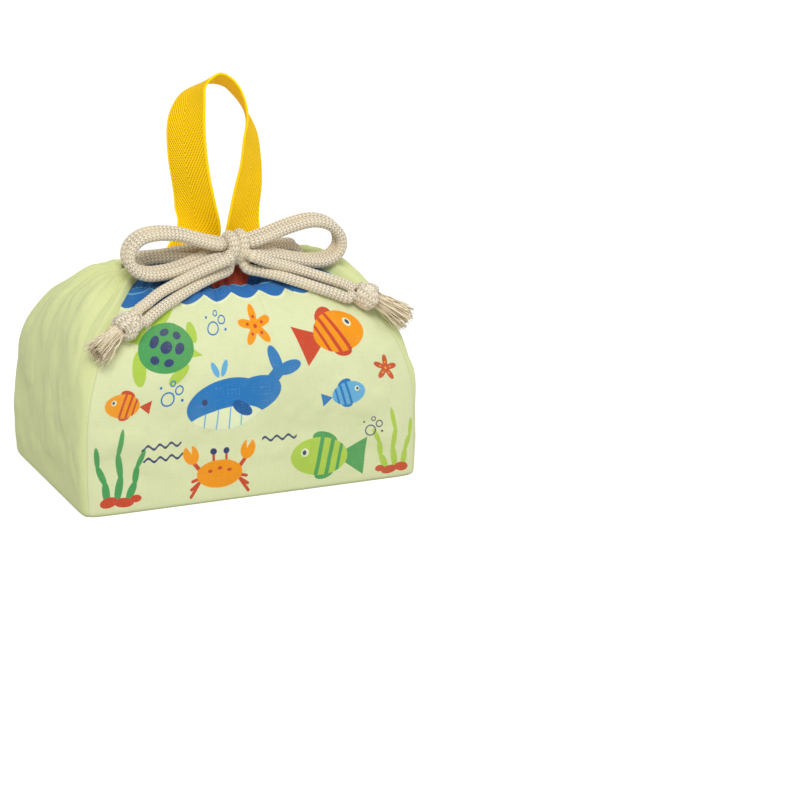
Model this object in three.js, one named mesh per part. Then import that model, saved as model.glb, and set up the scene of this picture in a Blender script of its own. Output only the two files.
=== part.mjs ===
// A gusseted cloth lunch bag: drawn shut by two drawcords tied in a bow, with a looped tape handle.
// Millimetres, +Z up, front towards -Y, origin on the ground at the middle of the base.
import * as THREE from 'three';

// Driving dimensions of the bag
const BASE_WIDTH = 170;
const BASE_DEPTH = 110;
const RIM_HEIGHT = 102;
const RIM_WIDTH = 100;
const CLOTH = 1.0;
const SEAM_GAP = 0.3;
const FOLD = 2.3;

// Driving dimensions of the drawcords and their sleeves
const CORD = 5.2;
const CORD_PLAY = 0.5;
const SLIT = 14;
const SLEEVE_TOP = 104.3;
const SLEEVE_LENGTH = 62;
const LEAD_REACH = 36;
const BOW_KNOT_RADIUS = 8.8;
const END_KNOT_RADIUS = 6.8;
const END_KNOT_LENGTH = 13;
const TASSEL_ROOT_RADIUS = 4.2;
const TASSEL_END_RADIUS = 6.6;
const TASSEL_LENGTH = 14;

// Driving dimensions of the handle tape
const TAPE_WIDTH = 25;
const TAPE = 1.6;
const TAPE_SEWN_DEPTH = 12;
const HINGE_HEIGHT = 107;
const HINGE_SET_BACK = 1.5;
const HINGE_GAP = 0.98;
const HANDLE_RISE = 83;
const FOOT_GAP = 6;
const FOOT_OFF_CENTRE = -0.5;

// Worked out from the sizes above
const sleeveInnerHalf = { across: CORD / 2 + CORD_PLAY, up: CORD + (3 * CORD_PLAY) / 2 };
const sleeveOuterHalf = { across: sleeveInnerHalf.across + CLOTH, up: sleeveInnerHalf.up + CLOTH };
const rimHalf = { x: RIM_WIDTH / 2, y: SLIT / 2 + 2 * sleeveOuterHalf.across + SEAM_GAP };
const baseHalf = { x: BASE_WIDTH / 2, y: BASE_DEPTH / 2 };
const sleeveMiddle = SLEEVE_TOP - sleeveOuterHalf.up;
const laneRise = (CORD + CORD_PLAY) / 2;

// How the walls close in from the base to the rim: share of the rim height, share of the way
// out from the rim to the base in width and in depth, and how square the outline is there.
const wallShares = [
  [0.0, 1.0, 1.0, 26.0],
  [0.195, 1.03, 1.015, 22.0],
  [0.44, 1.035, 1.005, 15.0],
  [0.57, 1.0, 0.975, 10.0],
  [0.69, 0.92, 0.899, 6.8],
  [0.785, 0.806, 0.772, 5.2],
  [0.863, 0.655, 0.608, 4.1],
  [0.92, 0.471, 0.418, 3.5],
  [0.962, 0.28, 0.215, 3.4],
  [0.985, 0.125, 0.08, 3.5],
  [1.0, 0.0, 0.0, 3.5],
];
const PANEL_STEPS = 36;
const GUSSET_STEPS = 28;

// The main folds that the gathering makes. The creases are shares of the way from one corner seam
// of a wall to the other. Each fold between two creases has its length down from the rim, a share
// of the rim height, and its height, a share of FOLD.
const panelFolds = {
  creaseShares: [0, 0.15, 0.28, 0.42, 0.56, 0.69, 0.84, 1],
  lengthShares: [0.62, 0.4, 0.52, 0.36, 0.48, 0.38, 0.6],
  heightShares: [0.9, 0.7, 1, 0.8, 1, 0.75, 0.9],
};
const gussetFolds = {
  creaseShares: [0, 0.24, 0.46, 0.65, 0.83, 1],
  lengthShares: [0.75, 0.9, 0.7, 0.95, 0.66],
  heightShares: [0.85, 1, 0.8, 1, 0.75],
};
const PUFF_ROUNDNESS = 0.7;
const RIM_FADE = 9;

const bag = new THREE.Group();

function finish(color, roughness) {
  return new THREE.MeshStandardMaterial({ color, roughness, metalness: 0 });
}

function add(name, geometry, material) {
  const mesh = new THREE.Mesh(geometry, material);
  mesh.name = name;
  bag.add(mesh);
  return mesh;
}

// The way that a grid of points faces at one of them
function facing(points, i, j) {
  const at = (row, column) => {
    const near = points[THREE.MathUtils.clamp(row, 0, points.length - 1)];
    return near[THREE.MathUtils.clamp(column, 0, near.length - 1)];
  };
  const along = at(i, j + 1).clone().sub(at(i, j - 1));
  const up = at(i + 1, j).clone().sub(at(i - 1, j));
  return along.cross(up).normalize();
}

// A closed sheet of one thickness: a grid of points on its middle or outer skin, moved along the
// skin's own normals to give its two faces, and joined all round its edge.
function sheet(points, above, below) {
  const rows = points.length;
  const columns = points[0].length;
  const positions = [];
  for (const offset of [above, -below]) {
    for (let i = 0; i < rows; i++) {
      for (let j = 0; j < columns; j++) {
        positions.push(...points[i][j].clone().addScaledVector(facing(points, i, j), offset).toArray());
      }
    }
  }
  const index = [];
  const quad = (a, b, c, d) => index.push(a, b, c, a, c, d);
  const far = rows * columns;
  for (let i = 0; i + 1 < rows; i++) {
    for (let j = 0; j + 1 < columns; j++) {
      const a = i * columns + j;
      quad(a, a + 1, a + columns + 1, a + columns);
      quad(far + a, far + a + columns, far + a + columns + 1, far + a + 1);
    }
  }
  const edge = [];
  for (let j = 0; j + 1 < columns; j++) edge.push([j, j + 1]);
  for (let i = 0; i + 1 < rows; i++) edge.push([(i + 1) * columns - 1, (i + 2) * columns - 1]);
  for (let j = columns - 1; j > 0; j--) edge.push([(rows - 1) * columns + j, (rows - 1) * columns + j - 1]);
  for (let i = rows - 1; i > 0; i--) edge.push([i * columns, (i - 1) * columns]);
  for (const [a, b] of edge) quad(b, a, far + a, far + b);
  const geometry = new THREE.BufferGeometry();
  geometry.setAttribute('position', new THREE.Float32BufferAttribute(positions, 3));
  geometry.setIndex(index);
  return geometry;
}

// A tube, or any other section, along a smooth curve through hand-chosen points
function alongRoute(section, points, steps) {
  const curve = new THREE.CatmullRomCurve3(points.map((p) => new THREE.Vector3(...p)));
  return new THREE.ExtrudeGeometry(section, { steps, bevelEnabled: false, extrudePath: curve });
}

function roundSection(radius, sides) {
  const outline = [];
  for (let i = 0; i < sides; i++) {
    const turn = (2 * Math.PI * i) / sides;
    outline.push(new THREE.Vector2(radius * Math.cos(turn), radius * Math.sin(turn)));
  }
  return new THREE.Shape(outline);
}

// The bag's body cloth: four walls that meet at the corner seams, standing on a flat base
function wallOutline(row) {
  const [rise, across, deep, squareness] = row;
  const foot = CLOTH + SEAM_GAP;
  return {
    a: rimHalf.x + (baseHalf.x - rimHalf.x) * across,
    b: rimHalf.y + (baseHalf.y - rimHalf.y) * deep,
    n: squareness,
    z: foot + (RIM_HEIGHT - foot) * rise,
  };
}

function wall(facesFront) {
  const steps = facesFront ? PANEL_STEPS : GUSSET_STEPS;
  return wallShares.map((row) => {
    const { a, b, n, z } = wallOutline(row);
    const corner = Math.pow(2, -1 / n);
    const run = facesFront ? a : b;
    const reach = facesFront ? b : a;
    const seamBack = ((SEAM_GAP / 2 + CLOTH / 4) * run) / Math.hypot(a, b);
    const half = run * corner - seamBack;
    const points = [];
    for (let j = 0; j <= steps; j++) {
      const middling = j / steps - 1 / 2;
      const along = half * (middling + Math.sin(Math.PI * middling) / 2);
      const out = reach * Math.pow(1 - Math.pow(Math.abs(along) / run, n), 1 / n);
      points.push(facesFront ? new THREE.Vector3(along, -out, z) : new THREE.Vector3(out, along, z));
    }
    return points;
  });
}

const { clamp, smoothstep } = THREE.MathUtils;

// A wall with its main folds: each rises between two creases, or the creases are drawn in instead
function foldedWall(facesFront, folds, drawnIn) {
  const rows = wall(facesFront);
  const top = rows.length - 1;
  return rows.map((row, i) => row.map((point, j) => {
    const share = j / (row.length - 1);
    const last = folds.creaseShares.findLastIndex((crease) => crease <= share);
    const fold = Math.min(last, folds.lengthShares.length - 1);
    const [from, to] = folds.creaseShares.slice(fold, fold + 2);
    let below = 0;
    for (let k = i; k < top; k++) below += rows[k][j].distanceTo(rows[k + 1][j]);
    const across = Math.PI * clamp((share - from) / (to - from), 0, 1);
    const puff = Math.pow(Math.sin(across), PUFF_ROUNDNESS);
    const length = folds.lengthShares[fold] * RIM_HEIGHT;
    const fade = (1 - smoothstep(below, 0, length)) * smoothstep(below, 0, RIM_FADE);
    const seam = Math.sin(Math.PI * share);
    const rise = FOLD * folds.heightShares[fold] * fade * (drawnIn ? (puff - 1) * seam : puff);
    return point.clone().addScaledVector(facing(rows, i, j), rise);
  }));
}

function turnedHalf(rows) {
  return rows.map((row) => row.map((p) => new THREE.Vector3(-p.x, -p.y, p.z)));
}

const cloth = finish(0xdde6b4, 0.85);
const gussetCloth = finish(0xd3dda6, 0.85);
add('front_panel', sheet(foldedWall(true, panelFolds, true), 0, CLOTH), cloth);
add('back_panel', sheet(turnedHalf(foldedWall(true, panelFolds, false)), 0, CLOTH), cloth);
add('right_gusset', sheet(foldedWall(false, gussetFolds, false), 0, CLOTH), gussetCloth);
add('left_gusset', sheet(turnedHalf(foldedWall(false, gussetFolds, false)), 0, CLOTH), gussetCloth);

// The base: one flat panel with the same outline as the foot of the walls
const STRAIGHT_SHARE = 0.3;
function basePanel() {
  const nearCorners = (row) => row.filter((p, j) => Math.abs(j / (row.length - 1) - 1 / 2) > STRAIGHT_SHARE);
  const [front] = wall(true);
  const [right] = wall(false);
  const half = [...nearCorners(front), ...nearCorners(right)];
  const outline = [...half, ...half.map((p) => new THREE.Vector3(-p.x, -p.y, p.z))];
  const shape = new THREE.Shape(outline.map((p) => new THREE.Vector2(p.x, p.y)));
  return new THREE.ExtrudeGeometry(shape, { depth: CLOTH, bevelEnabled: false });
}
add('base_panel', basePanel(), cloth);

// The drawcord sleeves: a hemmed tunnel on each side of the mouth, open at both ends
function rimDepthAt(x) {
  const [last] = wallShares.slice(-1);
  const n = last[3];
  return rimHalf.y * Math.pow(1 - Math.pow(Math.abs(x) / rimHalf.x, n), 1 / n);
}

function sleeveDepthAt(x) {
  return rimDepthAt(x) - SEAM_GAP - sleeveOuterHalf.across;
}

function sleeveOutline(half) {
  const outline = [];
  const sides = 12;
  for (let i = 0; i < sides; i++) {
    const turn = (2 * Math.PI * (i + 1 / 2)) / sides;
    const c = Math.cos(turn);
    const s = Math.sin(turn);
    const grow = Math.pow(Math.pow(Math.abs(c), 4) + Math.pow(Math.abs(s), 4), -1 / 4);
    outline.push(new THREE.Vector2(half.up * c * grow, half.across * s * grow));
  }
  return outline;
}

const SLEEVE_STATIONS = 6;
function sleeveRoute(side, rise, reach) {
  const points = [];
  for (let i = 0; i <= SLEEVE_STATIONS; i++) {
    const x = reach * (i / SLEEVE_STATIONS - 1 / 2);
    points.push([x, side * sleeveDepthAt(x), rise]);
  }
  return points;
}

for (const [name, side] of [['front_sleeve', -1], ['back_sleeve', 1]]) {
  const section = new THREE.Shape(sleeveOutline(sleeveOuterHalf));
  section.holes.push(new THREE.Path(sleeveOutline(sleeveInnerHalf)));
  const route = sleeveRoute(side, sleeveMiddle, SLEEVE_LENGTH);
  add(name, alongRoute(section, route, SLEEVE_STATIONS * 2), finish(0x2e7db8, 0.8));
}

// The drawcords: the left one lies in the upper lane of both sleeves and comes out at the left,
// the right one in the lower lane and comes out at the right. Each turns round the far end.
const cordSection = roundSection(CORD / 2, 8);
const cotton = finish(0xd9cbae, 0.9);
const lanes = { upper: sleeveMiddle + laneRise, lower: sleeveMiddle - laneRise };
const turnReach = SLEEVE_LENGTH / 2 + (5 * CORD) / 4;

function heldRun(lane, mirror, frontExit, backExit) {
  const z = lanes[lane];
  const reach = SLEEVE_LENGTH;
  const front = sleeveRoute(-1, z, reach);
  const back = sleeveRoute(1, z, reach).reverse();
  const endDepth = sleeveDepthAt(reach / 2);
  const round = [
    [turnReach - CORD / 2, -endDepth * 0.75, z],
    [turnReach, 0, z],
    [turnReach - CORD / 2, endDepth * 0.75, z],
  ];
  const route = [...frontExit, ...front, ...round, ...back, ...backExit];
  return route.map(([x, y, h]) => [mirror * x, y, h]);
}

// The two leads leave over the end of the sleeves, side by side, towards the bow
const leftFrontExit = [
  [-LEAD_REACH, -8.8, 108.2], [-39.2, -8.5, 107.9], [-41.4, -9, 104.4], [-36.8, -10.1, 100.5],
];
const leftBackExit = [
  [-37, 9.7, 100.6], [-41.4, 7, 103], [-42, 2.2, 106.4], [-39.4, -0.9, 108.2], [-LEAD_REACH, -2, 108.5],
];
const rightFrontExit = [
  [-LEAD_REACH, -8.8, 108.2], [-39.2, -8.5, 107.4], [-41.2, -9, 101.5], [-37.4, -9.8, 95.8],
];
const rightBackExit = [
  [-36.6, 9.7, 95.4], [-41.2, 7.2, 99.6], [-41.6, 2.2, 106], [-39.4, -0.9, 108.1], [-LEAD_REACH, -2, 108.5],
];
const HELD_STEPS = 72;
const leftRun = heldRun('upper', 1, leftFrontExit, leftBackExit);
const rightRun = heldRun('lower', -1, rightFrontExit, rightBackExit);
add('left_drawcord_run', alongRoute(cordSection, leftRun, HELD_STEPS), cotton);
add('right_drawcord_run', alongRoute(cordSection, rightRun, HELD_STEPS), cotton);

// The bow: a round knot, and on each side of it two leads, a loop of two strands and two tails
const bowKnot = [1.5, -22, 114];
const knotBall = new THREE.SphereGeometry(BOW_KNOT_RADIUS, 16, 12);
const bow = add('bow_knot', knotBall.rotateX(Math.PI / 2), cotton);
bow.position.set(...bowKnot);

// Where a strand leaves the knot: the angle off the sideways line, and the turn round it
const strandStart = BOW_KNOT_RADIUS + SEAM_GAP;
function atKnot(side, offSide, turn, out) {
  const a = THREE.MathUtils.degToRad(offSide);
  const t = THREE.MathUtils.degToRad(turn);
  const reach = strandStart + out;
  return [
    bowKnot[0] + side * reach * Math.cos(a),
    bowKnot[1] + reach * Math.sin(a) * Math.cos(t),
    bowKnot[2] + reach * Math.sin(a) * Math.sin(t),
  ];
}

const LOOP_STEPS = 12;
const LEAD_STEPS = 3;
const TAIL_STEPS = 5;
const strandPitch = new THREE.Vector3(0, 5.6, 1.7);
const straight = CORD / 2;

const leftLoop = [
  [-7.4, -24.6, 116.1], [-15, -24.4, 118.2], [-26, -24.4, 122.0], [-37.8, -24.6, 123.4],
  [-45.2, -24.8, 122.0], [-50.2, -25.2, 117.9], [-51.6, -25.8, 112.6], [-49, -26.4, 107.9],
  [-43.5, -27, 105.2], [-34.5, -26.8, 104.8], [-25, -26.2, 106.2], [-15.6, -25.2, 108.6], [-7.3, -24.6, 110.2],
];
const rightLoop = [
  [10.5, -24.6, 116.1], [19, -23.6, 117.9], [31, -22, 120.9], [43.2, -21.8, 122.6],
  [51.6, -21.8, 120.2], [56.8, -22, 115], [57.4, -22.2, 109.2], [54, -22.6, 104.8],
  [46.8, -23.4, 102.9], [37.5, -24, 103.9], [27, -24.6, 106.5], [18.4, -24.6, 108.6], [10.3, -24.6, 110.2],
];
for (const [side, loop] of [['left', leftLoop], ['right', rightLoop]]) {
  add(`${side}_loop_front`, alongRoute(cordSection, loop, LOOP_STEPS), cotton);
  const behind = loop.map(([x, y, z]) => [x, y + strandPitch.y, z + strandPitch.z]);
  add(`${side}_loop_back`, alongRoute(cordSection, behind, LOOP_STEPS), cotton);
}

const leadEnd = LEAD_REACH - 2 * SEAM_GAP;
function frontLead(s) {
  return [atKnot(s, 66, 312, 0), atKnot(s, 66, 312, straight), [bowKnot[0] + s * 18, -14, 108.2],
    [s * 29, -10.2, 108.4], [s * leadEnd, -8.9, 108.2]];
}
function backLead(s) {
  return [atKnot(s, 58, 354, 0), atKnot(s, 58, 354, straight), [bowKnot[0] + s * 15, -9.4, 111.8],
    [s * 28, -4.4, 109.1], [s * leadEnd, -2.2, 108.5]];
}
for (const [side, s] of [['left', -1], ['right', 1]]) {
  add(`${side}_lead_front`, alongRoute(cordSection, frontLead(s), LEAD_STEPS), cotton);
  add(`${side}_lead_back`, alongRoute(cordSection, backLead(s), LEAD_STEPS), cotton);
}

const tails = {
  left: {
    upper: [atKnot(-1, 58, 198, 0), atKnot(-1, 58, 198, straight), [-11, -32.4, 109.2], [-19, -32.6, 106.6],
      [-28.6, -33, 103], [-39.7, -34.6, 98.9], [-47.5, -37.4, 95.2], [-52.9, -39.6, 92.6]],
    lower: [atKnot(-1, 66, 242, 0), atKnot(-1, 66, 242, straight), [-11, -29.6, 102.8], [-19, -31.6, 100.6],
      [-28.4, -34.2, 97.2], [-38.6, -37.6, 93.4], [-46.3, -41, 90.2], [-51.6, -43.2, 87.9]],
    end: [-59.9, -45.6, 88.3],
    direction: [-0.86, -0.24, -0.45],
  },
  right: {
    upper: [atKnot(1, 58, 198, 0), atKnot(1, 58, 198, straight), [14, -31.8, 108.4], [21.4, -31, 105.8],
      [29.4, -30.8, 103], [38, -31.8, 99.8], [46.6, -34.8, 96.8], [53.6, -38.0, 94.1]],
    lower: [atKnot(1, 66, 242, 0), atKnot(1, 66, 242, straight), [13.6, -29.6, 102.6], [20.6, -31.6, 100.7],
      [28.4, -34, 98], [37, -36.9, 94.9], [45, -39.8, 92.0], [52.3, -42.7, 89.5]],
    end: [60.7, -43.6, 90.0],
    direction: [0.9, -0.2, -0.38],
  },
};

// A round piece on the end of a tail: its profile turned about the way the tail points
function onTail(name, profile, place, direction) {
  const geometry = new THREE.LatheGeometry(profile.map(([r, h]) => new THREE.Vector2(r, h)), 12);
  const mesh = add(name, geometry, cotton);
  mesh.position.set(...place);
  mesh.quaternion.setFromUnitVectors(new THREE.Vector3(0, 1, 0), new THREE.Vector3(...direction).normalize());
}

const knotShares = [[0, -0.5], [0.62, -0.5], [0.9, -0.34], [1, -0.1], [1, 0.12], [0.86, 0.34], [0.6, 0.5], [0, 0.5]];
const knotProfile = knotShares.map(([r, h]) => [r * END_KNOT_RADIUS, h * END_KNOT_LENGTH]);
const tasselProfile = [
  [0, 0],
  [TASSEL_ROOT_RADIUS, 0],
  [(TASSEL_ROOT_RADIUS + TASSEL_END_RADIUS) / 2, TASSEL_LENGTH / 2],
  [TASSEL_END_RADIUS, TASSEL_LENGTH],
  [0, TASSEL_LENGTH],
];
for (const [side, tail] of Object.entries(tails)) {
  add(`${side}_tail_upper`, alongRoute(cordSection, tail.upper, TAIL_STEPS), cotton);
  add(`${side}_tail_lower`, alongRoute(cordSection, tail.lower, TAIL_STEPS), cotton);
  onTail(`${side}_end_knot`, knotProfile, tail.end, tail.direction);
  const way = new THREE.Vector3(...tail.direction).normalize();
  const root = new THREE.Vector3(...tail.end).addScaledVector(way, END_KNOT_LENGTH / 2 + SEAM_GAP);
  onTail(`${side}_tassel`, tasselProfile, root.toArray(), tail.direction);
}

// The handle: one loop of tape. Each station gives the middle of the tape and the way that it
// lies across, as shares of the handle's rise above its hinge line, from the left foot to the right.
const loopShares = [
  { middle: [-0.124, 0.012, 0.114], across: [-0.85, 0.36, 0.38] },
  { middle: [-0.129, 0.012, 0.285], across: [-0.57, 0.82, 0.02] },
  { middle: [-0.151, 0.012, 0.53], across: [-0.541, 0.83, 0.14] },
  { middle: [-0.151, 0.012, 0.735], across: [-0.44, 0.9, 0.0] },
  { middle: [-0.133, 0.012, 0.86], across: [-0.28, 0.94, -0.15] },
  { middle: [-0.1, 0.012, 0.945], across: [-0.09, 0.95, -0.29] },
  { middle: [0.01, 0.012, 1.0], across: [0.1, 0.93, -0.36] },
  { middle: [0.09, 0.012, 0.98], across: [0.2, 0.93, -0.32] },
  { middle: [0.158, 0.012, 0.91], across: [0.24, 0.93, -0.26] },
  { middle: [0.215, 0.012, 0.79], across: [0.36, 0.93, -0.1] },
  { middle: [0.235, 0.012, 0.655], across: [0.59, 0.8, 0.0] },
  { middle: [0.238, 0.012, 0.515], across: [0.69, 0.72, 0.0] },
  { middle: [0.223, 0.01, 0.37], across: [0.8, 0.6, 0.0] },
  { middle: [0.188, 0.005, 0.155], across: [0.9, 0.42, 0.08] },
];
const footMiddle = (FOOT_GAP + TAPE_WIDTH) / 2;
const LOOP_STATIONS = 44;
const TAPE_CELLS = 2;

function tapeRows(stations, count) {
  const middles = new THREE.CatmullRomCurve3(stations.map((s) => s.middle), false, 'centripetal');
  const acrosses = new THREE.CatmullRomCurve3(stations.map((s) => s.across), false, 'centripetal');
  const rows = [];
  for (let i = 0; i <= count; i++) {
    const middle = middles.getPoint(i / count);
    const across = acrosses.getPoint(i / count).normalize();
    const row = [];
    for (let j = 0; j <= TAPE_CELLS; j++) {
      row.push(middle.clone().addScaledVector(across, TAPE_WIDTH * (j / TAPE_CELLS - 1 / 2)));
    }
    rows.push(row);
  }
  return rows;
}

function footStation(side, height) {
  const middle = new THREE.Vector3(side * footMiddle + FOOT_OFF_CENTRE, HINGE_SET_BACK, height);
  return { middle, across: new THREE.Vector3(side, 0, 0) };
}

function handleStations() {
  const loop = loopShares.map(({ middle, across }) => ({
    middle: new THREE.Vector3(...middle).multiplyScalar(HANDLE_RISE)
      .add(new THREE.Vector3(0, HINGE_SET_BACK, HINGE_HEIGHT)),
    across: new THREE.Vector3(...across).normalize(),
  }));
  return [footStation(-1, HINGE_HEIGHT), ...loop, footStation(1, HINGE_HEIGHT)];
}
const tape = finish(0xf7b800, 0.7);
add('handle_tape', sheet(tapeRows(handleStations(), LOOP_STATIONS), TAPE / 2, TAPE / 2), tape);

// The sewn ends of the tape go down through the mouth and lie against the back sleeve
function sewnEnd(side) {
  const rows = [];
  const sewnShares = [0, 0.3, 0.55, 1];
  const leanShares = [0, 0.55, 1, 1];
  sewnShares.forEach((down, i) => {
    const row = [];
    for (let j = 0; j <= 4; j++) {
      const x = side * footMiddle + FOOT_OFF_CENTRE + side * TAPE_WIDTH * (j / 4 - 1 / 2);
      const seat = sleeveDepthAt(x) - sleeveOuterHalf.across - SEAM_GAP - TAPE / 2;
      const y = HINGE_SET_BACK + (seat - HINGE_SET_BACK) * leanShares[i];
      row.push(new THREE.Vector3(x, y, HINGE_HEIGHT - HINGE_GAP - TAPE_SEWN_DEPTH * down));
    }
    rows.push(row);
  });
  return rows;
}
for (const [side, s] of [['left', -1], ['right', 1]]) {
  add(`handle_sewn_end_${side}`, sheet(sewnEnd(s), TAPE / 2, TAPE / 2), tape);
}

export default bag;
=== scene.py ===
# %% [markdown]
# A lunch bag, sewn from printed cotton and drawn shut with cords, is rebuilt here around its packed
# CAD frame. Every length is in metres and every place is the frame's own, so nothing is fitted
# afterwards. The lesson goes from the outside in: the picture's setting, the cords and their knots,
# the tape handle, and then the cloth, whose print is worked out from formulas on the flat cloth.

# %% Load the frame and measure it
import math

import bpy
import numpy as np
from mathutils import Matrix, Vector


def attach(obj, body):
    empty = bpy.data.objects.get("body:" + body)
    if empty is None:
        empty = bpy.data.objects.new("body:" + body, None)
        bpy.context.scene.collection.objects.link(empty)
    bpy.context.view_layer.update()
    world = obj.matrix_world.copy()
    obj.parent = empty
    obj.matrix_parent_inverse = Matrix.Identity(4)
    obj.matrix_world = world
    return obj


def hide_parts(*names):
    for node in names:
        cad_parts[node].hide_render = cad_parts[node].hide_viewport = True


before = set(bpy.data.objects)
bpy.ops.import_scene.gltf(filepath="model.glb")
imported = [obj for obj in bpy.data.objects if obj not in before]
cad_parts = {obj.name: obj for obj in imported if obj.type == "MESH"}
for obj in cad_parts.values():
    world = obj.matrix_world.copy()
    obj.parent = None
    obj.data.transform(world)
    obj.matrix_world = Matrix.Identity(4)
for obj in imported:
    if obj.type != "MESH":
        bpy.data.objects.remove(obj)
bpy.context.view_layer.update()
MM = 0.001

# %% [markdown]
# The camera stands where the photograph's did: to the left of the bag and above it, with a long
# lens from 1.27 m away. The bag sits to the left in the picture, so the camera is turned a little
# to the right instead of being shifted: a view from another side still has the bag in its middle.

# %% Set up the camera
CAMERA_AT = Vector((-436.5, -1118.9, 406.6)) * MM
CAMERA_AZIMUTH = math.radians(-25.664)
CAMERA_DOWN = math.radians(17.280)
CAMERA_ROLL = math.radians(1.204)
LENS_MM, SENSOR_MM = 115.37, 36.0


def place_camera():
    data = bpy.data.cameras.new("camera")
    data.lens = LENS_MM
    data.sensor_width = SENSOR_MM
    data.clip_start = 0.05
    camera = bpy.data.objects.new("camera", data)
    bpy.context.scene.collection.objects.link(camera)
    turn = Matrix.Rotation(CAMERA_AZIMUTH, 4, "Z")
    turn = turn @ Matrix.Rotation(math.pi / 2 - CAMERA_DOWN, 4, "X")
    turn = turn @ Matrix.Rotation(CAMERA_ROLL, 4, "Z")
    camera.matrix_world = Matrix.Translation(CAMERA_AT) @ turn
    bpy.context.scene.camera = camera
    return camera


camera = place_camera()
print("camera at", tuple(round(v, 3) for v in camera.location))

# %% [markdown]
# Materials are built from nodes. Writing `a * b + 1` is easier to read than wiring boxes, so one
# small class wraps a socket and turns each operator into a Math node. Colours and vectors go
# through Mix and Vector Math nodes, because a Math node would turn a colour grey.

# %% A socket that can be used in an expression, and a finish made of them
SPECULAR = 0.25
MIX_FACTOR, MIX_A, MIX_B, MIX_RESULT = 0, 6, 7, 2  # the sockets of a Mix node set to colours


class Field:
    """A number that changes over a surface, held by a node's output socket."""

    def __init__(self, finish, socket):
        self.finish = finish
        self.socket = socket

    def __add__(self, other):
        return self.finish.math("ADD", self, other)

    __radd__ = __add__

    def __mul__(self, other):
        return self.finish.math("MULTIPLY", self, other)

    __rmul__ = __mul__

    def __sub__(self, other):
        return self.finish.math("SUBTRACT", self, other)

    def __rsub__(self, other):
        return self.finish.math("SUBTRACT", other, self)

    def __neg__(self):
        return self.finish.math("MULTIPLY", self, -1.0)


class Nodes:
    """The nodes of a material or a world, built up from nothing."""

    def __init__(self, owner):
        owner.use_nodes = True
        self.tree = owner.node_tree
        self.tree.nodes.clear()

    def put(self, socket, value):
        """Feed a node's input socket with a field, a socket or a plain value."""
        if isinstance(value, Field):
            value = value.socket
        if isinstance(value, bpy.types.NodeSocket):
            self.tree.links.new(value, socket)
        else:
            socket.default_value = value

    def node(self, kind, settings=(), inputs=()):
        """Any node: its type, its settings, and what its sockets hold."""
        made = self.tree.nodes.new(kind)
        for key, value in dict(settings).items():
            setattr(made, key, value)
        for key, value in dict(inputs).items():
            self.put(made.inputs[key], value)
        return made


class Finish(Nodes):
    """One material: a Principled shader and the nodes that feed it."""

    def __init__(self, name, roughness, sheen=0.0):
        self.material = bpy.data.materials.new(name)
        super().__init__(self.material)
        output = self.node("ShaderNodeOutputMaterial")
        inputs = {"Roughness": roughness, "Specular IOR Level": SPECULAR, "Sheen Weight": sheen}
        self.shader = self.node("ShaderNodeBsdfPrincipled", inputs=inputs)
        self.put(output.inputs["Surface"], self.shader.outputs["BSDF"])

    def math(self, operation, *values):
        made = self.node("ShaderNodeMath", {"operation": operation}, dict(enumerate(values)))
        return Field(self, made.outputs[0])

    def step(self, field, start, end):
        """0 below start, 1 above end, and a smooth ramp between them."""
        settings = {"interpolation_type": "SMOOTHSTEP"}
        inputs = {"Value": field, "From Min": start, "From Max": end}
        made = self.node("ShaderNodeMapRange", settings, inputs)
        return Field(self, made.outputs["Result"])

    def attribute(self, name):
        made = self.node("ShaderNodeAttribute", {"attribute_name": name})
        return Field(self, made.outputs["Fac"])

    def flat_place(self):
        """Where a point lies on the flat cloth, in millimetres, from the UV map."""
        uv = self.node("ShaderNodeUVMap", {"uv_map": "flat"}).outputs["UV"]
        parts = self.node("ShaderNodeSeparateXYZ", inputs={"Vector": uv})
        return Field(self, parts.outputs["X"]), Field(self, parts.outputs["Y"])

    def noise(self, scale, detail, where=None):
        """Soft random patches, about 0 to 1, over the object or over given places."""
        if where is None:
            where = self.node("ShaderNodeTexCoord").outputs["Object"]
        inputs = {"Vector": where, "Scale": scale, "Detail": detail}
        return Field(self, self.node("ShaderNodeTexNoise", inputs=inputs).outputs[0])

    def vector(self, x, y, z=0.0):
        made = self.node("ShaderNodeCombineXYZ", inputs={"X": x, "Y": y, "Z": z})
        return made.outputs["Vector"]

    def mix(self, share, first, second):
        """The first colour where share is 0 and the second where it is 1."""
        inputs = {MIX_FACTOR: share, MIX_A: first, MIX_B: second}
        return self.node("ShaderNodeMix", {"data_type": "RGBA"}, inputs).outputs[MIX_RESULT]

    def colour(self, value):
        self.put(self.shader.inputs["Base Color"], value)

    def rough(self, value):
        self.put(self.shader.inputs["Roughness"], value)

    def glow(self, colour, strength):
        self.put(self.shader.inputs["Emission Color"], colour)
        self.put(self.shader.inputs["Emission Strength"], strength)

    def bump(self, *layers):
        """Raise the surface by each (height field, depth in metres) in turn."""
        below = {}
        for height, depth in layers:
            inputs = {"Height": height, "Distance": depth, "Strength": 1.0, **below}
            below = {"Normal": self.node("ShaderNodeBump", inputs=inputs).outputs["Normal"]}
        self.put(self.shader.inputs["Normal"], below["Normal"])


def shade(hex_code):
    """A colour written as it looks on a screen, as the linear values that Blender wants."""
    parts = [int(hex_code[i:i + 2], 16) / 255 for i in (0, 2, 4)]
    linear = [c / 12.92 if c <= 0.04045 else ((c + 0.055) / 1.055) ** 2.4 for c in parts]
    return (*linear, 1.0)


print("finishes are ready to be mixed")
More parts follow.
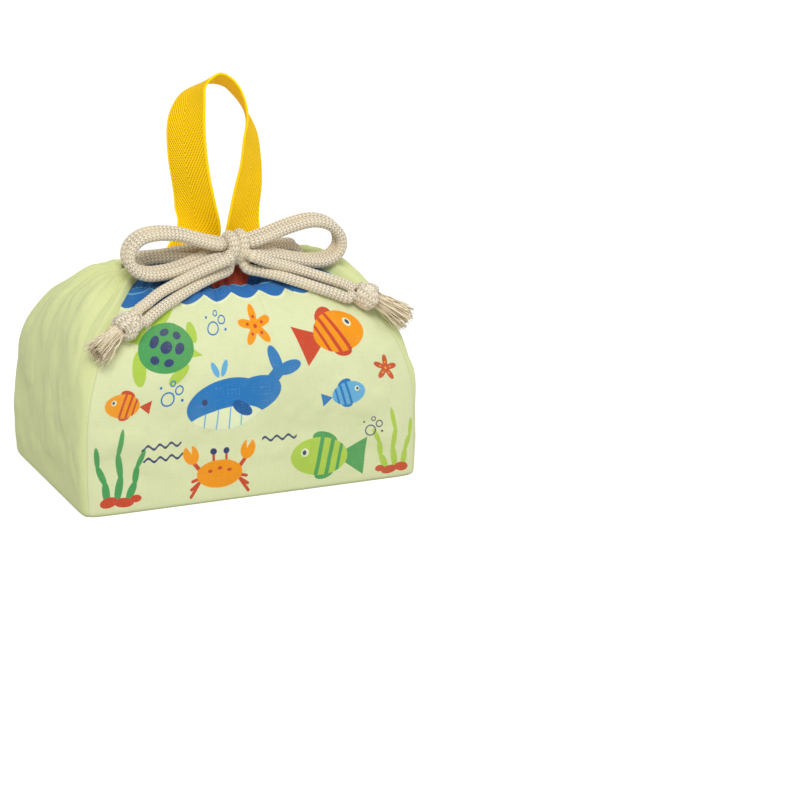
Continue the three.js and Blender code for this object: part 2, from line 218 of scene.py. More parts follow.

# %% [markdown]
# The cord is a round cotton braid. Its yarns run in columns of small Vs, which is what a braid of
# many strands shows from outside. Each free stretch follows a given route; a tube is swept
# along it and its skin is pushed in and out by the braid's own pattern, so the Vs are real relief.

# %% Smooth routes and braided tubes
CORD = 5.2 * MM
BRAID_COLUMNS = 10
STITCH = 1.9 * MM
RELIEF = 0.25 * MM
RING_POINTS = 60
RING_STEP = 0.35 * MM
SPLINE_STEPS = 24


def unit(vectors):
    """The same directions, each with the length one."""
    return np.asarray(vectors) / np.linalg.norm(vectors, axis=-1, keepdims=True)


def run_of(points):
    """How far along a line of points each of them lies."""
    return np.r_[0, np.cumsum(np.linalg.norm(np.diff(points, axis=0), axis=1))]


def even_points(fine, count):
    """Points at even distances along a line whose first three values are its place."""
    run = run_of(fine[:, :3])
    even = np.linspace(0, run[-1], count)
    return np.stack([np.interp(even, run, column) for column in fine.T], 1)


def smooth_route(points):
    """Evenly spaced points on a centripetal spline through the given ones, and its length."""
    p = np.asarray(points, float)
    p = np.vstack([2 * p[0] - p[1], p, 2 * p[-1] - p[-2]])
    fine = []
    for i in range(1, len(p) - 2):
        a, b, c, d = p[i - 1:i + 3]
        knots = [0.0]
        for q, r in ((a, b), (b, c), (c, d)):
            knots.append(knots[-1] + max(np.linalg.norm(r - q), 1e-9) ** 0.5)
        t = np.linspace(knots[1], knots[2], SPLINE_STEPS, endpoint=False)[:, None]
        t0, t1, t2, t3 = knots
        u = (t1 - t) / (t1 - t0) * a + (t - t0) / (t1 - t0) * b
        v = (t2 - t) / (t2 - t1) * b + (t - t1) / (t2 - t1) * c
        w = (t3 - t) / (t3 - t2) * c + (t - t2) / (t3 - t2) * d
        uv = (t2 - t) / (t2 - t0) * u + (t - t0) / (t2 - t0) * v
        vw = (t3 - t) / (t3 - t1) * v + (t - t1) / (t3 - t1) * w
        fine.extend((t2 - t) / (t2 - t1) * uv + (t - t1) / (t2 - t1) * vw)
    fine = np.array(fine + [p[-2]])
    length = run_of(fine)[-1]
    return even_points(fine, max(int(round(length / RING_STEP)), 2) + 1), length


def carried_frames(route):
    """Two directions across the route at each point, carried along it without twist."""
    ahead = unit(np.gradient(route, axis=0))
    first = np.cross(ahead[0], (0, 0, 1.0))
    if np.linalg.norm(first) < 0.1:
        first = np.cross(ahead[0], (0, 1.0, 0))
    side = [unit(first)]
    for tangent in ahead[1:]:
        side.append(unit(side[-1] - tangent * np.dot(side[-1], tangent)))
    side = np.array(side)
    return side, np.cross(ahead, side)


def make_mesh(name, vertices, faces, uv=None, smooth=True):
    mesh = bpy.data.meshes.new(name)
    mesh.from_pydata(np.asarray(vertices).tolist(), [], [list(map(int, f)) for f in faces])
    if uv is not None:
        layer = mesh.uv_layers.new(name="flat")
        corner = np.empty(len(mesh.loops), int)
        mesh.loops.foreach_get("vertex_index", corner)
        layer.data.foreach_set("uv", np.asarray(uv)[corner].astype(np.float32).ravel())
    mesh.polygons.foreach_set("use_smooth", [smooth] * len(mesh.polygons))
    mesh.update()
    made = bpy.data.objects.new(name, mesh)
    bpy.context.scene.collection.objects.link(made)
    return made


def tube_faces(sides, rings, first=0, turned=False):
    """The skin of a tube from its first vertex on, ring after ring, with a flat face at each end.

    It is turned when the rings run the other way round, so that it still faces outward.
    """
    last = first + (rings - 1) * sides
    faces = []
    for a in range(first, last, sides):
        for j in range(sides):
            k = (j + 1) % sides
            quad = (a + j, a + k, a + sides + k, a + sides + j)
            faces.append((quad[0], quad[3], quad[2], quad[1]) if turned else quad)
    back, front = (last, first) if turned else (first, last)
    faces.append(tuple(back + j for j in reversed(range(sides))))
    faces.append(tuple(front + j for j in range(sides)))
    return faces


def braid_height(around, along):
    """From 0 in the grooves to 1 on the yarns: columns of Vs, each column half a stitch on."""
    column = around * BRAID_COLUMNS
    inside = np.abs(column - np.floor(column) - 0.5) * 2
    stitch = along / STITCH + 0.72 * inside
    yarn = 0.5 + 0.5 * np.cos(2 * math.pi * stitch)
    seam = np.clip(inside * 1.15, 0, 1) ** 6
    spine = np.clip((1 - inside) * 1.1 - 0.1, 0, 1) ** 5
    return yarn ** 0.6 * (1 - 0.75 * seam) * (1 - 0.35 * spine)


def write_painted_light(piece, height):
    """Write a share of painted light on the vertices, the yarns' height on a braid, for the finish to
    paint shade where it is low.
    """
    field = piece.data.attributes.new("painted_light", "FLOAT", "POINT")
    field.data.foreach_set("value", np.asarray(height, np.float32))


def braided_tube(name, points):
    """A mesh tube with real braid relief, with its route and its length."""
    route, length = smooth_route(points)
    side, over = carried_frames(route)
    turns = np.arange(RING_POINTS) / RING_POINTS
    along = np.linspace(0, length, len(route))
    height = braid_height(turns[None, :], along[:, None])
    reach = CORD / 2 + RELIEF * (height - 0.6)
    c = np.cos(2 * math.pi * turns)[None, :, None]
    s = np.sin(2 * math.pi * turns)[None, :, None]
    ring = route[:, None, :] + reach[..., None] * (c * side[:, None, :] + s * over[:, None, :])
    vertices = np.vstack([ring.reshape(-1, 3), route[0], route[-1]])
    ends = len(route) * RING_POINTS
    last = ends - RING_POINTS
    faces = tube_faces(RING_POINTS, len(route))[:-2]  # each end is a fan round its middle instead
    for j in range(RING_POINTS):
        k = (j + 1) % RING_POINTS
        faces += [(k, j, ends), (last + j, last + k, ends + 1)]
    around_mm = np.tile(turns * math.pi * CORD / MM, len(route))
    uv = np.stack([around_mm, np.repeat(along, RING_POINTS) / MM], 1)
    tube = make_mesh(name, vertices, faces, np.vstack([uv, [0, 0], [0, length / MM]]))
    write_painted_light(tube, np.r_[height.ravel(), 0, 0])
    return tube, route, length


print("braid relief", RELIEF / MM, "mm in", BRAID_COLUMNS, "columns")

# %% [markdown]
# Natural cotton is never one colour. The yarns' crowns are pale cream, the grooves between them
# are painted in shade and a little browner, and slow patches of tone run along the cord. Fine fuzz
# gives the cotton its dry sheen.

# %% Mix the cord and tassel finishes
CREAM = shade("FBF4E2")
GROOVE_SHADE = shade("A68D5E")
STRAW = shade("EDDDB8")


def cotton_finish(name, light, dark, patch):
    f = Finish(name, roughness=0.9, sheen=0.25)
    around, along = f.flat_place()
    painted_light = f.attribute("painted_light")
    fuzz = f.noise(2600, 3)
    slow = f.noise(90, 2)
    yarn = f.noise(7.0, 2, f.vector(around, along * 0.35))
    # painted shade: dark where the painted light is low, in the braid's grooves and inside a tassel's
    # brush
    tone = f.step(painted_light, 0.05, 0.75)
    base = f.mix(tone, dark, light)
    base = f.mix(f.step(slow, 0.35, 0.75) * 0.45, base, patch)
    base = f.mix(f.step(yarn, 0.45, 0.8) * 0.35, base, light)
    f.colour(f.mix(f.step(fuzz, 0.5, 0.8) * 0.18, base, dark))
    f.rough(0.82 + fuzz * 0.16)
    f.bump((fuzz, 0.12 * MM), (yarn, 0.1 * MM))
    return f.material


cord_finish = cotton_finish("braided_cotton", CREAM, GROOVE_SHADE, STRAW)
tassel_finish = cotton_finish("frayed_cotton", shade("FFF3D6"), shade("A5824A"), shade("DFC28C"))
print("cord finishes:", cord_finish.name, tassel_finish.name)


def dress(piece, body, slot, *nodes):
    """Let a piece ride on a body and stand for its CAD nodes."""
    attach(piece, body)
    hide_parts(*nodes)


def cord_piece(name, points, body, *nodes):
    """A braided stretch of cord in the place of its CAD nodes."""
    piece, route, length = braided_tube(name, points)
    piece.data.materials.append(cord_finish)
    dress(piece, body, "cotton_cord", *nodes)
    return piece, route, length

# %% [markdown]
# Two drawcords hold the mouth. Each one goes right round inside the hemmed sleeves and comes out
# on its own side as two leads, which run to the bow. The route is the CAD model's own list of
# points with its tight corners eased. The tube goes on a few millimetres into the bow's knot, so
# that the yarns vanish into it instead of stopping at its skin. Lengths in a route's list are in
# millimetres.

# %% Lay the two drawcords
SIDES = {"left": -1, "right": 1}
KNOT_AT = np.array([1.5, -22, 114]) * MM
KNOT_SKIN = 9.1
LANES = {"left": 97.35 + 2.85, "right": 97.35 - 2.85}
LANE_WIDTH = 62
RIM_WIDE, RIM_DEEP, RIM_SQUARE = 50, 15.5, 3.5  # half width, half depth and squareness
CORD_INSET, SLACK = 4.1, 0.3
EASING_PASSES = 70


def at_knot(side, off_side, turn, reach=KNOT_SKIN):
    """A place round the bow's knot, by two angles in degrees and a distance in millimetres."""
    a, t = math.radians(off_side), math.radians(turn)
    way = np.array([side * math.cos(a), math.sin(a) * math.cos(t), math.sin(a) * math.sin(t)])
    return KNOT_AT + reach * MM * way


def from_knot(side, off_side, turn, points, first=4.2):
    """A route that starts inside the knot, leaves it straight and then follows the points."""
    start = [at_knot(side, off_side, turn, reach) for reach in (first, KNOT_SKIN, 11.7)]
    return np.array(start + [np.array(p) * MM for p in points])


def sleeve_depth(x):
    """How far behind the bag's middle plane the cords lie at x, in millimetres."""
    rim = RIM_DEEP * (1 - (abs(x) / RIM_WIDE) ** RIM_SQUARE) ** (1 / RIM_SQUARE)
    return rim - SLACK - CORD_INSET


def held_run(rise, mirror, front_exit, back_exit):
    """The stretch of drawcord that the sleeves hold, from its way out in front to the one behind."""
    stations = [LANE_WIDTH * (i / 6 - 0.5) for i in range(7)]
    front = [(x, -sleeve_depth(x), rise) for x in stations]
    back = [(x, sleeve_depth(x), rise) for x in stations[::-1]]
    end = sleeve_depth(LANE_WIDTH / 2)
    turn = [(34.9, -0.75 * end, rise), (37.5, 0, rise), (34.9, 0.75 * end, rise)]
    route = np.array(front_exit + front + turn + back + back_exit)
    return route * (mirror, 1, 1) * MM


def eased(points):
    """The same route with its tight corners rounded, as a cord's stiffness would."""
    route = smooth_route(points)[0]
    for _ in range(EASING_PASSES):
        route[1:-1] = (route[:-2] + 2 * route[1:-1] + route[2:]) / 4
    return np.vstack([route[:-3:6], route[-1]])


exits = {
    "left": ([(-36, -8.8, 108.2), (-39.2, -8.5, 107.9), (-41.4, -9, 104.4), (-36.8, -10.1, 100.5)],
             [(-37, 9.7, 100.6), (-41.4, 7, 103), (-42, 2.2, 106.4), (-39.4, -0.9, 108.2),
              (-36, -2, 108.5)]),
    "right": ([(-36, -8.8, 108.2), (-39.2, -8.5, 107.4), (-41.2, -9, 101.5), (-37.4, -9.8, 95.8)],
              [(-36.6, 9.7, 95.4), (-41.2, 7.2, 99.6), (-41.6, 2.2, 106), (-39.4, -0.9, 108.1),
               (-36, -2, 108.5)]),
}
for name, side in SIDES.items():
    run = held_run(LANES[name], -side, *exits[name])
    front_lead = from_knot(side, 66, 312, [(1.5 + 18 * side, -14, 108.2), (29 * side, -10.2, 108.4)])
    back_lead = from_knot(side, 58, 354, [(1.5 + 15 * side, -9.4, 111.8), (28 * side, -4.4, 109.1)])
    points = eased(np.vstack([front_lead, run, back_lead[::-1]]))
    piece, route, length = cord_piece(f"{name}_drawcord", points, "bag", f"{name}_lead_front",
                                      f"{name}_drawcord_run", f"{name}_lead_back")
    print(name, "drawcord", round(length / MM), "mm")

# %% [markdown]
# The bow has a loop of two strands on each side. The strands lie side by side, so that from the
# front one almost hides the other, and they open where the loop turns back.

# %% Lay the four strands of the bow's loops
loop_points = {
    "left": [(-7.4, -24.6, 116.1), (-15, -24.4, 118.2), (-26, -24.4, 122.0), (-37.8, -24.6, 123.4),
             (-45.2, -24.8, 122.0), (-50.2, -25.2, 117.9), (-51.6, -25.8, 112.6), (-49, -26.4, 107.9),
             (-43.5, -27, 105.2), (-34.5, -26.8, 104.8), (-25, -26.2, 106.2), (-15.6, -25.2, 108.6),
             (-7.3, -24.6, 110.2)],
    "right": [(10.5, -24.6, 116.1), (19, -23.6, 117.9), (31, -22, 120.9), (43.2, -21.8, 122.6),
              (51.6, -21.8, 120.2), (56.8, -22, 115), (57.4, -22.2, 109.2), (54, -22.6, 104.8),
              (46.8, -23.4, 102.9), (37.5, -24, 103.9), (27, -24.6, 106.5), (18.4, -24.6, 108.6),
              (10.3, -24.6, 110.2)],
}
BEHIND = np.array([0, 5.6, 1.0]) * MM
INTO_KNOT = {"front": np.array([0, 2.2, -0.6]) * MM, "back": np.array([0, -1.2, -1.2]) * MM}
for name, side in SIDES.items():
    for strand in ("front", "back"):
        points = np.array(loop_points[name]) * MM + (BEHIND if strand == "back" else 0)
        inner = np.array([-5.2 * side, 0, 0]) * MM + INTO_KNOT[strand]
        points = np.vstack([points[0] + inner, points, points[-1] + inner])
        piece, route, length = cord_piece(f"{name}_loop_{strand}_strand", points, "bag",
                                          f"{name}_loop_{strand}")
        print(name, strand, "loop strand", round(length / MM), "mm")

# %% [markdown]
# The tails hang from the bow over the front of the bag, two strands each, and ride on bodies of
# their own because a hand lifts them first to undo the bow. Both strands run on into the tail's
# end knot. A strand is told by two angles, at which it leaves the bow's knot, and its places.

# %% Lay the tails
TAIL_START = 6.6
tail_routes = {
    "left": {
        "upper": (198, 58, [(-11, -32.4, 109.2), (-19, -32.6, 106.6), (-28.6, -33, 103),
                            (-39.7, -34.6, 98.9), (-47.5, -37.4, 95.2), (-52.9, -39.6, 92.6)]),
        "lower": (242, 66, [(-11, -29.6, 102.8), (-19, -31.6, 100.6), (-28.4, -34.2, 97.2),
                            (-38.6, -37.6, 93.4), (-46.3, -41, 90.2), (-51.6, -43.2, 87.9)]),
        "end": (-59.9, -45.6, 88.3),
        "way": (-0.86, -0.24, -0.45),
        "brush": (-0.84, -0.26, -0.5, 15.4),
    },
    "right": {
        "upper": (198, 58, [(14, -31.8, 108.4), (21.4, -31, 105.8), (29.4, -30.8, 103),
                            (38, -31.8, 99.8), (46.6, -34.8, 96.8), (53.6, -38.0, 94.1)]),
        "lower": (242, 66, [(13.6, -29.6, 102.6), (20.6, -31.6, 100.7), (28.4, -34, 98),
                            (37, -36.9, 94.9), (45, -39.8, 92.0), (52.3, -42.7, 89.5)]),
        "end": (60.7, -43.6, 90.0),
        "way": (0.9, -0.2, -0.38),
        "brush": (0.86, -0.26, -0.56, 18.0),
    },
}
tail_strands = {}
for name, side in SIDES.items():
    tail = tail_routes[name]
    tail["end"] = end = np.array(tail["end"]) * MM
    tail["way"] = way = unit(tail["way"])
    for strand in ("upper", "lower"):
        turn, off_side, points = tail[strand]
        points = from_knot(side, off_side, turn, points, TAIL_START)
        points = np.vstack([points, end - way * 4.0 * MM + (points[-1] - end) * 0.18])
        made = cord_piece(f"{name}_tail_{strand}_strand", points, f"{name}_tail", f"{name}_tail_{strand}")
        tail_strands[name, strand] = made
        print(name, strand, "tail strand", round(made[2] / MM), "mm")

# %% [markdown]
# The bow's knot is one wrap of the doubled cord pulled tight round everything else: from the front
# it shows as two strands that stand side by side and lean over each other. A knot is easiest to
# model as what it is, so the wrap is two closed rings of the same braid, a little twisted, with a
# folded core that fills the middle.

# %% Tie the bow's knot
def join_pieces(name, pieces):
    """One object from several, which keeps their attributes and maps."""
    with bpy.context.temp_override(active_object=pieces[0], selected_editable_objects=pieces):
        bpy.ops.object.join()
    pieces[0].name = name
    pieces[0].data.name = name
    return pieces[0]


def braided_group(name, routes):
    """Several braided tubes as one piece, in cotton."""
    tubes = [braided_tube(f"{name}_{number}", route)[0] for number, route in enumerate(routes)]
    for tube in tubes:
        tube.data.materials.append(cord_finish)
    return join_pieces(name, tubes)


def ring_route(across, up, out, lean, start):
    """A ring round the knot's middle, in millimetres, from a start angle a little past itself."""
    turn = np.radians(start) + np.linspace(0, 2 * math.pi * 1.04, 16)
    x = across + lean * np.sin(turn) + 0.5 * np.cos(2 * turn)
    return KNOT_AT + np.stack([x, -out * np.cos(turn), up * np.sin(turn)], 1) * MM


core_points = [
    [(-7, 1.5, 1.6), (-3, -1, 1.0), (2, 1, 0.2), (7.5, 0.5, 1.8)],
    [(-6.5, -1.5, -2.6), (-2, 1, -2.2), (3, -1, -1.8), (7.5, -1.5, -3)],
]
knot_routes = [ring_route(-2.3, 5.6, 5.9, 0.8, 95), ring_route(2.5, 6.0, 5.7, 1.3, 110)]
knot_routes += [KNOT_AT + np.array(points) * MM for points in core_points]
knot_piece = braided_group("bow_knot_wrap", knot_routes)
dress(knot_piece, "bag", "cotton_cord", "bow_knot")
print("bow knot:", len(knot_piece.data.polygons), "faces")

# %% [markdown]
# Each tail ends in a stopper knot, as long as it is wide, with the strands crossing over its
# front. A tight overhand knot follows a small trefoil, and the doubled cord follows it twice.

# %% Tie the end knots
def crosswise(way):
    """Two directions across a given one, the first of them level."""
    side = unit(np.cross(way, (0, 0, 1.0)))
    return side, np.cross(side, way)


def end_knot_routes(end, way):
    """Two strands of a trefoil that is drawn tight about the tail's own direction."""
    side, up = crosswise(way)
    routes = []
    for shift in (-0.9, 0.9):
        t = np.linspace(0, 2 * math.pi * 1.02, 34) + 0.4
        along = (2.2 * np.cos(3 * t) + shift * 0.9) * MM
        reach = (3.0 + 1.2 * np.cos(1.5 * t) ** 2) * MM
        x = reach * np.cos(2 * t) + shift * 0.5 * MM
        y = reach * np.sin(2 * t)
        routes.append(end + along[:, None] * way + x[:, None] * side + y[:, None] * up)
    return routes


for name, tail in tail_routes.items():
    tail["knot"] = braided_group(f"{name}_stopper_knot", end_knot_routes(tail["end"], tail["way"]))
    dress(tail["knot"], f"{name}_tail", "cotton_cord", f"{name}_end_knot")
print("end knots tied")

# %% [markdown]
# Past the stopper knot the braid is unpicked into a short brush of single yarns. They are crimped
# from the braid they were in, they spread a little, and each is a thin tube of its own.

# %% Fray the tassels
YARNS = 170
YARN_RADIUS = 0.33 * MM
YARN_SIDES = 5
YARN_STEPS = 12
GOLDEN_TURN = 2.399963  # in radians: yarns that follow each other at it spread evenly over a disc


def yarn_tassel(name, root, way, reach, seed):
    """A brush of crimped yarns, each a closed tube, from the root along the way."""
    rng = np.random.default_rng(seed)
    side, up = crosswise(way)
    vertices, faces, uv, painted_light = [], [], [], []
    for i in range(YARNS):
        angle = GOLDEN_TURN * i
        share = math.sqrt((i + 0.5) / YARNS)
        start = share * 3.6 * MM
        finish_at = share * (6.3 + rng.normal(0, 0.8)) * MM
        length = (reach + rng.normal(0, 1.1)) * MM
        phase, crimp = rng.uniform(0, 6.28), rng.uniform(0.15, 0.35) * MM
        droop, shine = rng.uniform(0.2, 1.4) * MM, rng.uniform(0.45, 1.0)
        t = np.linspace(0, 1, YARN_STEPS)
        out = start + (finish_at - start) * t ** 1.3 + crimp * np.sin(t * 15 + phase)
        line = root + (t * length - 1.5 * MM)[:, None] * way
        line = line + (out * math.cos(angle))[:, None] * side
        line = line + (out * math.sin(angle) - droop * t ** 2)[:, None] * up
        faces += tube_faces(YARN_SIDES, YARN_STEPS, len(vertices), turned=True)
        for k, point in enumerate(line):
            radius = YARN_RADIUS * (1.0 - 0.35 * t[k])
            for j in range(YARN_SIDES):
                turn = 2 * math.pi * j / YARN_SIDES + t[k] * 3
                vertices.append(point + radius * (math.cos(turn) * side + math.sin(turn) * up))
                uv.append((j * 0.4 + i * 7.3, t[k] * length / MM))
                # painted shade: yarns inside the brush and near its root are darker, and each yarn has its
                # own random tone
                painted_light.append(shine * (0.3 + 0.7 * share * (0.6 + 0.4 * t[k])))
    tassel = make_mesh(name, vertices, faces, uv)
    write_painted_light(tassel, painted_light)
    tassel.data.materials.append(tassel_finish)
    return tassel


for seed, (name, tail) in enumerate(tail_routes.items(), 3):
    root = tail["end"] + tail["way"] * 6.8 * MM
    *way, reach = tail["brush"]
    tassel = yarn_tassel(f"{name}_yarn_tassel", root, unit(way), reach, seed)
    dress(tassel, f"{name}_tail", "cotton_tassel", f"{name}_tassel")
    for strand in ("upper", "lower"):
        piece, route, length = tail_strands[name, strand]
print("tassels:", YARNS, "yarns each")

# %% [markdown]
# The handle is one loop of cotton tape, woven in herringbone, whose ends are sewn inside the
# mouth. It stands up by its own stiffness and turns as it rises, so it is a ribbon that follows
# stations: where the tape's middle is, and which way its width lies. The skin has rounded
# selvedges, a slight cup across, and puckers at the feet where the cords squeeze it.

# %% Shape the handle tape
HINGE_AT = np.array([0, 1.5, 107]) * MM
HANDLE_RISE = 83 * MM
TAPE_WIDTH = 25 * MM
TAPE = 1.5 * MM
RIBBON_SIDES = 28
HANDLE_STEPS = 230
# each station: the middle's place from the hinge in shares of the rise, and the width's direction
loop_shares = [
    ((-0.124, 0.012, 0.114), (-0.85, 0.36, 0.38)), ((-0.129, 0.012, 0.285), (-0.57, 0.82, 0.02)),
    ((-0.151, 0.012, 0.53), (-0.541, 0.83, 0.14)), ((-0.151, 0.012, 0.735), (-0.44, 0.9, 0.0)),
    ((-0.133, 0.012, 0.86), (-0.28, 0.94, -0.15)), ((-0.1, 0.012, 0.945), (-0.09, 0.95, -0.29)),
    ((0.01, 0.012, 1.0), (0.1, 0.93, -0.36)), ((0.09, 0.012, 0.98), (0.2, 0.93, -0.32)),
    ((0.158, 0.012, 0.91), (0.24, 0.93, -0.26)), ((0.215, 0.012, 0.79), (0.36, 0.93, -0.1)),
    ((0.235, 0.012, 0.655), (0.59, 0.8, 0.0)), ((0.238, 0.012, 0.515), (0.69, 0.72, 0.0)),
    ((0.223, 0.01, 0.37), (0.8, 0.6, 0.0)), ((0.188, 0.005, 0.155), (0.9, 0.42, 0.08)),
]


def ribbon(name, middles, acrosses, pinch, wobble=None):
    """A woven strip with rounded edges along given middles and width directions."""
    acrosses = unit(acrosses)
    face = unit(np.cross(unit(np.gradient(middles, axis=0)), acrosses))
    run = run_of(middles)
    turn = 2 * math.pi * (np.arange(RIBBON_SIDES) + 0.5) / RIBBON_SIDES
    c, s = np.cos(turn), np.sin(turn)
    u = np.sign(c) * np.abs(c) ** 0.72
    v = np.sign(s) * np.abs(s) ** 0.3
    vertices, uv = [], []
    for i, middle in enumerate(middles):
        lift = 0.0 if wobble is None else wobble(u, run[i], run[-1])
        half = (TAPE_WIDTH - TAPE) / 2 * pinch(run[i], run[-1])
        across = (u * half + 0.35 * TAPE * c)[:, None] * acrosses[i]
        out = (v * TAPE / 2 + lift)[:, None] * face[i]
        vertices.append(middle + across + out)
        uv.append(np.stack([u * TAPE_WIDTH / 2 / MM, np.full(RIBBON_SIDES, run[i] / MM)], 1))
    return make_mesh(name, np.vstack(vertices), tube_faces(RIBBON_SIDES, len(middles)), np.vstack(uv))


def spline(points, count):
    """Evenly spaced points on a smooth line through rows of any number of values."""
    p = np.asarray(points, float)
    gaps = np.linalg.norm(np.diff(p[:, :3], axis=0), axis=1) ** 0.5
    knots = np.r_[0, np.cumsum(gaps)]
    slope = np.gradient(p, knots, axis=0)
    t = np.linspace(0, knots[-1], count * 8)
    i = np.clip(np.searchsorted(knots, t, side="right") - 1, 0, len(p) - 2)
    h = (knots[i + 1] - knots[i])[:, None]
    s = (t - knots[i])[:, None] / h
    fine = ((2 * s**3 - 3 * s**2 + 1) * p[i] + (s**3 - 2 * s**2 + s) * h * slope[i]
            + (3 * s**2 - 2 * s**3) * p[i + 1] + (s**3 - s**2) * h * slope[i + 1])
    return even_points(fine, count)


def tape_wobble(u, at, whole):
    """The cup across the tape and the puckers at its two feet."""
    foot = math.exp(-((min(at, whole - at) / (9 * MM)) ** 2))
    cup = 0.45 * MM * (u * u - 0.4) * (1 - foot)
    pucker = 0.55 * MM * foot * np.sin(u * 8.5 + (1.2 if at < whole / 2 else 4.0))
    soft = 0.25 * MM * math.sin(at * 95) * u
    return cup + pucker + soft


def tape_pinch(at, whole):
    """The share of its width that the tape keeps: the cords squeeze its two feet together."""
    left = math.exp(-((at / (17 * MM)) ** 2))
    right = math.exp(-(((whole - at) / (15 * MM)) ** 2))
    return 1 - 0.22 * left - 0.12 * right


foot_left = np.r_[np.array([-15.6, 1.5, 106.5]) * MM, (-1.0, 0, 0)]
foot_right = np.r_[np.array([15.0, 1.5, 106.5]) * MM, (1.0, 0, 0)]
stations = [np.r_[HINGE_AT + HANDLE_RISE * np.array(m), unit(w)] for m, w in loop_shares]
for number, shift in enumerate((3.4, 2.6, 1.0)):
    stations[number][0] += shift * MM
handle_line = spline([foot_left] + stations + [foot_right], HANDLE_STEPS)
handle = ribbon("handle_loop", handle_line[:, :3], handle_line[:, 3:], tape_pinch, tape_wobble)
dress(handle, "handle", "handle_tape", "handle_tape")
print("handle tape:", len(handle.data.polygons), "faces")

# %% [markdown]
# Herringbone is a twill whose slope turns over in columns, so its ribs make chevrons. On the tape
# the ribs are 1.3 mm apart, stand steeply and turn over once, off the middle. The height of a rib
# is a wave along a slanted line, and the selvedge at each edge is a plain, tighter band.

# %% Mix the handle finish
def tape_finish():
    f = Finish("herringbone_tape", roughness=0.82)
    across, along = f.flat_place()
    column = f.math("ABSOLUTE", across - 1.5)
    rib = f.math("SINE", along * 2.5 - column * 4.1) * 0.5 + 0.5
    thread = f.math("SINE", along * 5.2 + across * 1.5) * 0.5 + 0.5
    edge = f.step(f.math("ABSOLUTE", across), 11.0, 11.5)
    selvedge = f.math("SINE", along * 8.0) * 0.5 + 0.5
    height = (rib * 0.75 + thread * 0.25) * (1 - edge) + (0.55 + selvedge * 0.35) * edge
    painted_light = f.step(height, 0.05, 0.6)
    slow = f.noise(60, 3)
    fuzz = f.noise(2200, 2)
    # painted light: the tape glows a little, as if more light fell on it
    f.glow(shade("FFC000"), 0.21)
    deep, bright, warm = shade("CE8200"), shade("FFDD00"), shade("FFCC00")
    # painted shade: the grooves between the ribs are darker, deep where the painted light is low
    base = f.mix(painted_light, deep, bright)
    base = f.mix(f.step(slow, 0.4, 0.7) * 0.4, base, warm)
    line = f.step(f.math("ABSOLUTE", f.math("ABSOLUTE", across) - 11.1), 0.35, 0.05)
    f.colour(f.mix(line * 0.45, base, deep))
    f.rough(0.72 + fuzz * 0.2)
    f.bump((height, 0.4 * MM), (fuzz, 0.06 * MM))
    return f.material


def thread_finish():
    f = Finish("sewing_thread", roughness=0.6, sheen=0.1)
    twist = f.noise(1800, 2)
    f.colour(f.mix(f.step(twist, 0.35, 0.7), shade("D88F00"), shade("FFD84A")))
    f.bump((twist, 0.05 * MM))
    return f.material


handle_finish = tape_finish()
stitch_finish = thread_finish()
handle.data.materials.append(handle_finish)
print("handle finish:", len(handle_finish.node_tree.nodes), "nodes")

# %% [markdown]
# Below the hinge line the tape's ends go down through the mouth and are sewn flat against the
# back sleeve with two rows of stitches. They stay with the bag when the handle leans.

# %% Sew the tape's ends to the back sleeve
STITCHES, STITCH_PITCH = 8, 2.6
THREAD_RADIUS, THREAD_SIDES, THREAD_RINGS = 0.3, 6, 7
END_STEPS = 26
END_TOP, END_DROP = 106.9, 12.9


def thread_row(name, middle_x, y, z):
    """A row of short stitches along a level line, each one sunk at both ends."""
    vertices, faces = [], []
    for i in range(STITCHES):
        start = middle_x + (i - (STITCHES - 1) / 2) * STITCH_PITCH - 0.9
        faces += tube_faces(THREAD_SIDES, THREAD_RINGS, len(vertices))
        for k in range(THREAD_RINGS):
            bow = math.sin(math.pi * k / (THREAD_RINGS - 1))
            reach = THREAD_RADIUS * (0.4 + 0.6 * bow)
            for j in range(THREAD_SIDES):
                turn = 2 * math.pi * j / THREAD_SIDES
                across = y - 0.3 * bow + reach * math.cos(turn)
                vertices.append((start + 0.3 * k, across, z + reach * math.sin(turn)))
    row = make_mesh(name, np.array(vertices) * MM, faces)
    row.data.materials.append(stitch_finish)
    return row


def end_pinch(at, _):
    """The share of its width that a sewn end keeps, least at the hinge line."""
    return 1 - 0.2 * math.exp(-((at / (5 * MM)) ** 2))


for name, side in SIDES.items():
    middle_x = side * 15.5 - 0.5
    drop = np.linspace(0, 1, END_STEPS)
    lean = np.interp(drop, [0, 0.1, 0.35, 0.58, 1], [0, 0.02, 0.55, 1, 1])
    seat = sleeve_depth(middle_x) - CORD_INSET - SLACK - 0.9
    y = 1.5 + (seat - 1.5) * lean
    line = np.stack([np.full(END_STEPS, middle_x), y, END_TOP - END_DROP * drop], 1) * MM
    across = np.tile([side * 1.0, 0, 0], (END_STEPS, 1))
    end = ribbon(f"handle_end_{name}", line, across, end_pinch)
    end.data.materials.append(handle_finish)
    rows = [thread_row(f"stitches_{name}_{z:.0f}", middle_x, seat - 0.85, z) for z in (99.5, 95.5)]
    end = join_pieces(f"handle_end_{name}", [end, *rows])
    dress(end, "bag", "handle_tape", f"handle_sewn_end_{name}")
print("tape ends sewn in")

# %% [markdown]
# The body is two printed panels and two plain gussets, sewn round a flat base and gathered at the
# top. Each panel is a grid on a lofted shell: level outlines that are nearly square at the base
# and close in towards the mouth. The flat cloth keeps its width on the way up, so the map from
# flat cloth to shell squeezes it, and the surplus is what makes the pleats.

# %% Loft the walls' level outlines
BASE_WIDE, BASE_DEEP = 85, 55
FOOT_HEIGHT, RIM_HEIGHT = 1.3, 102
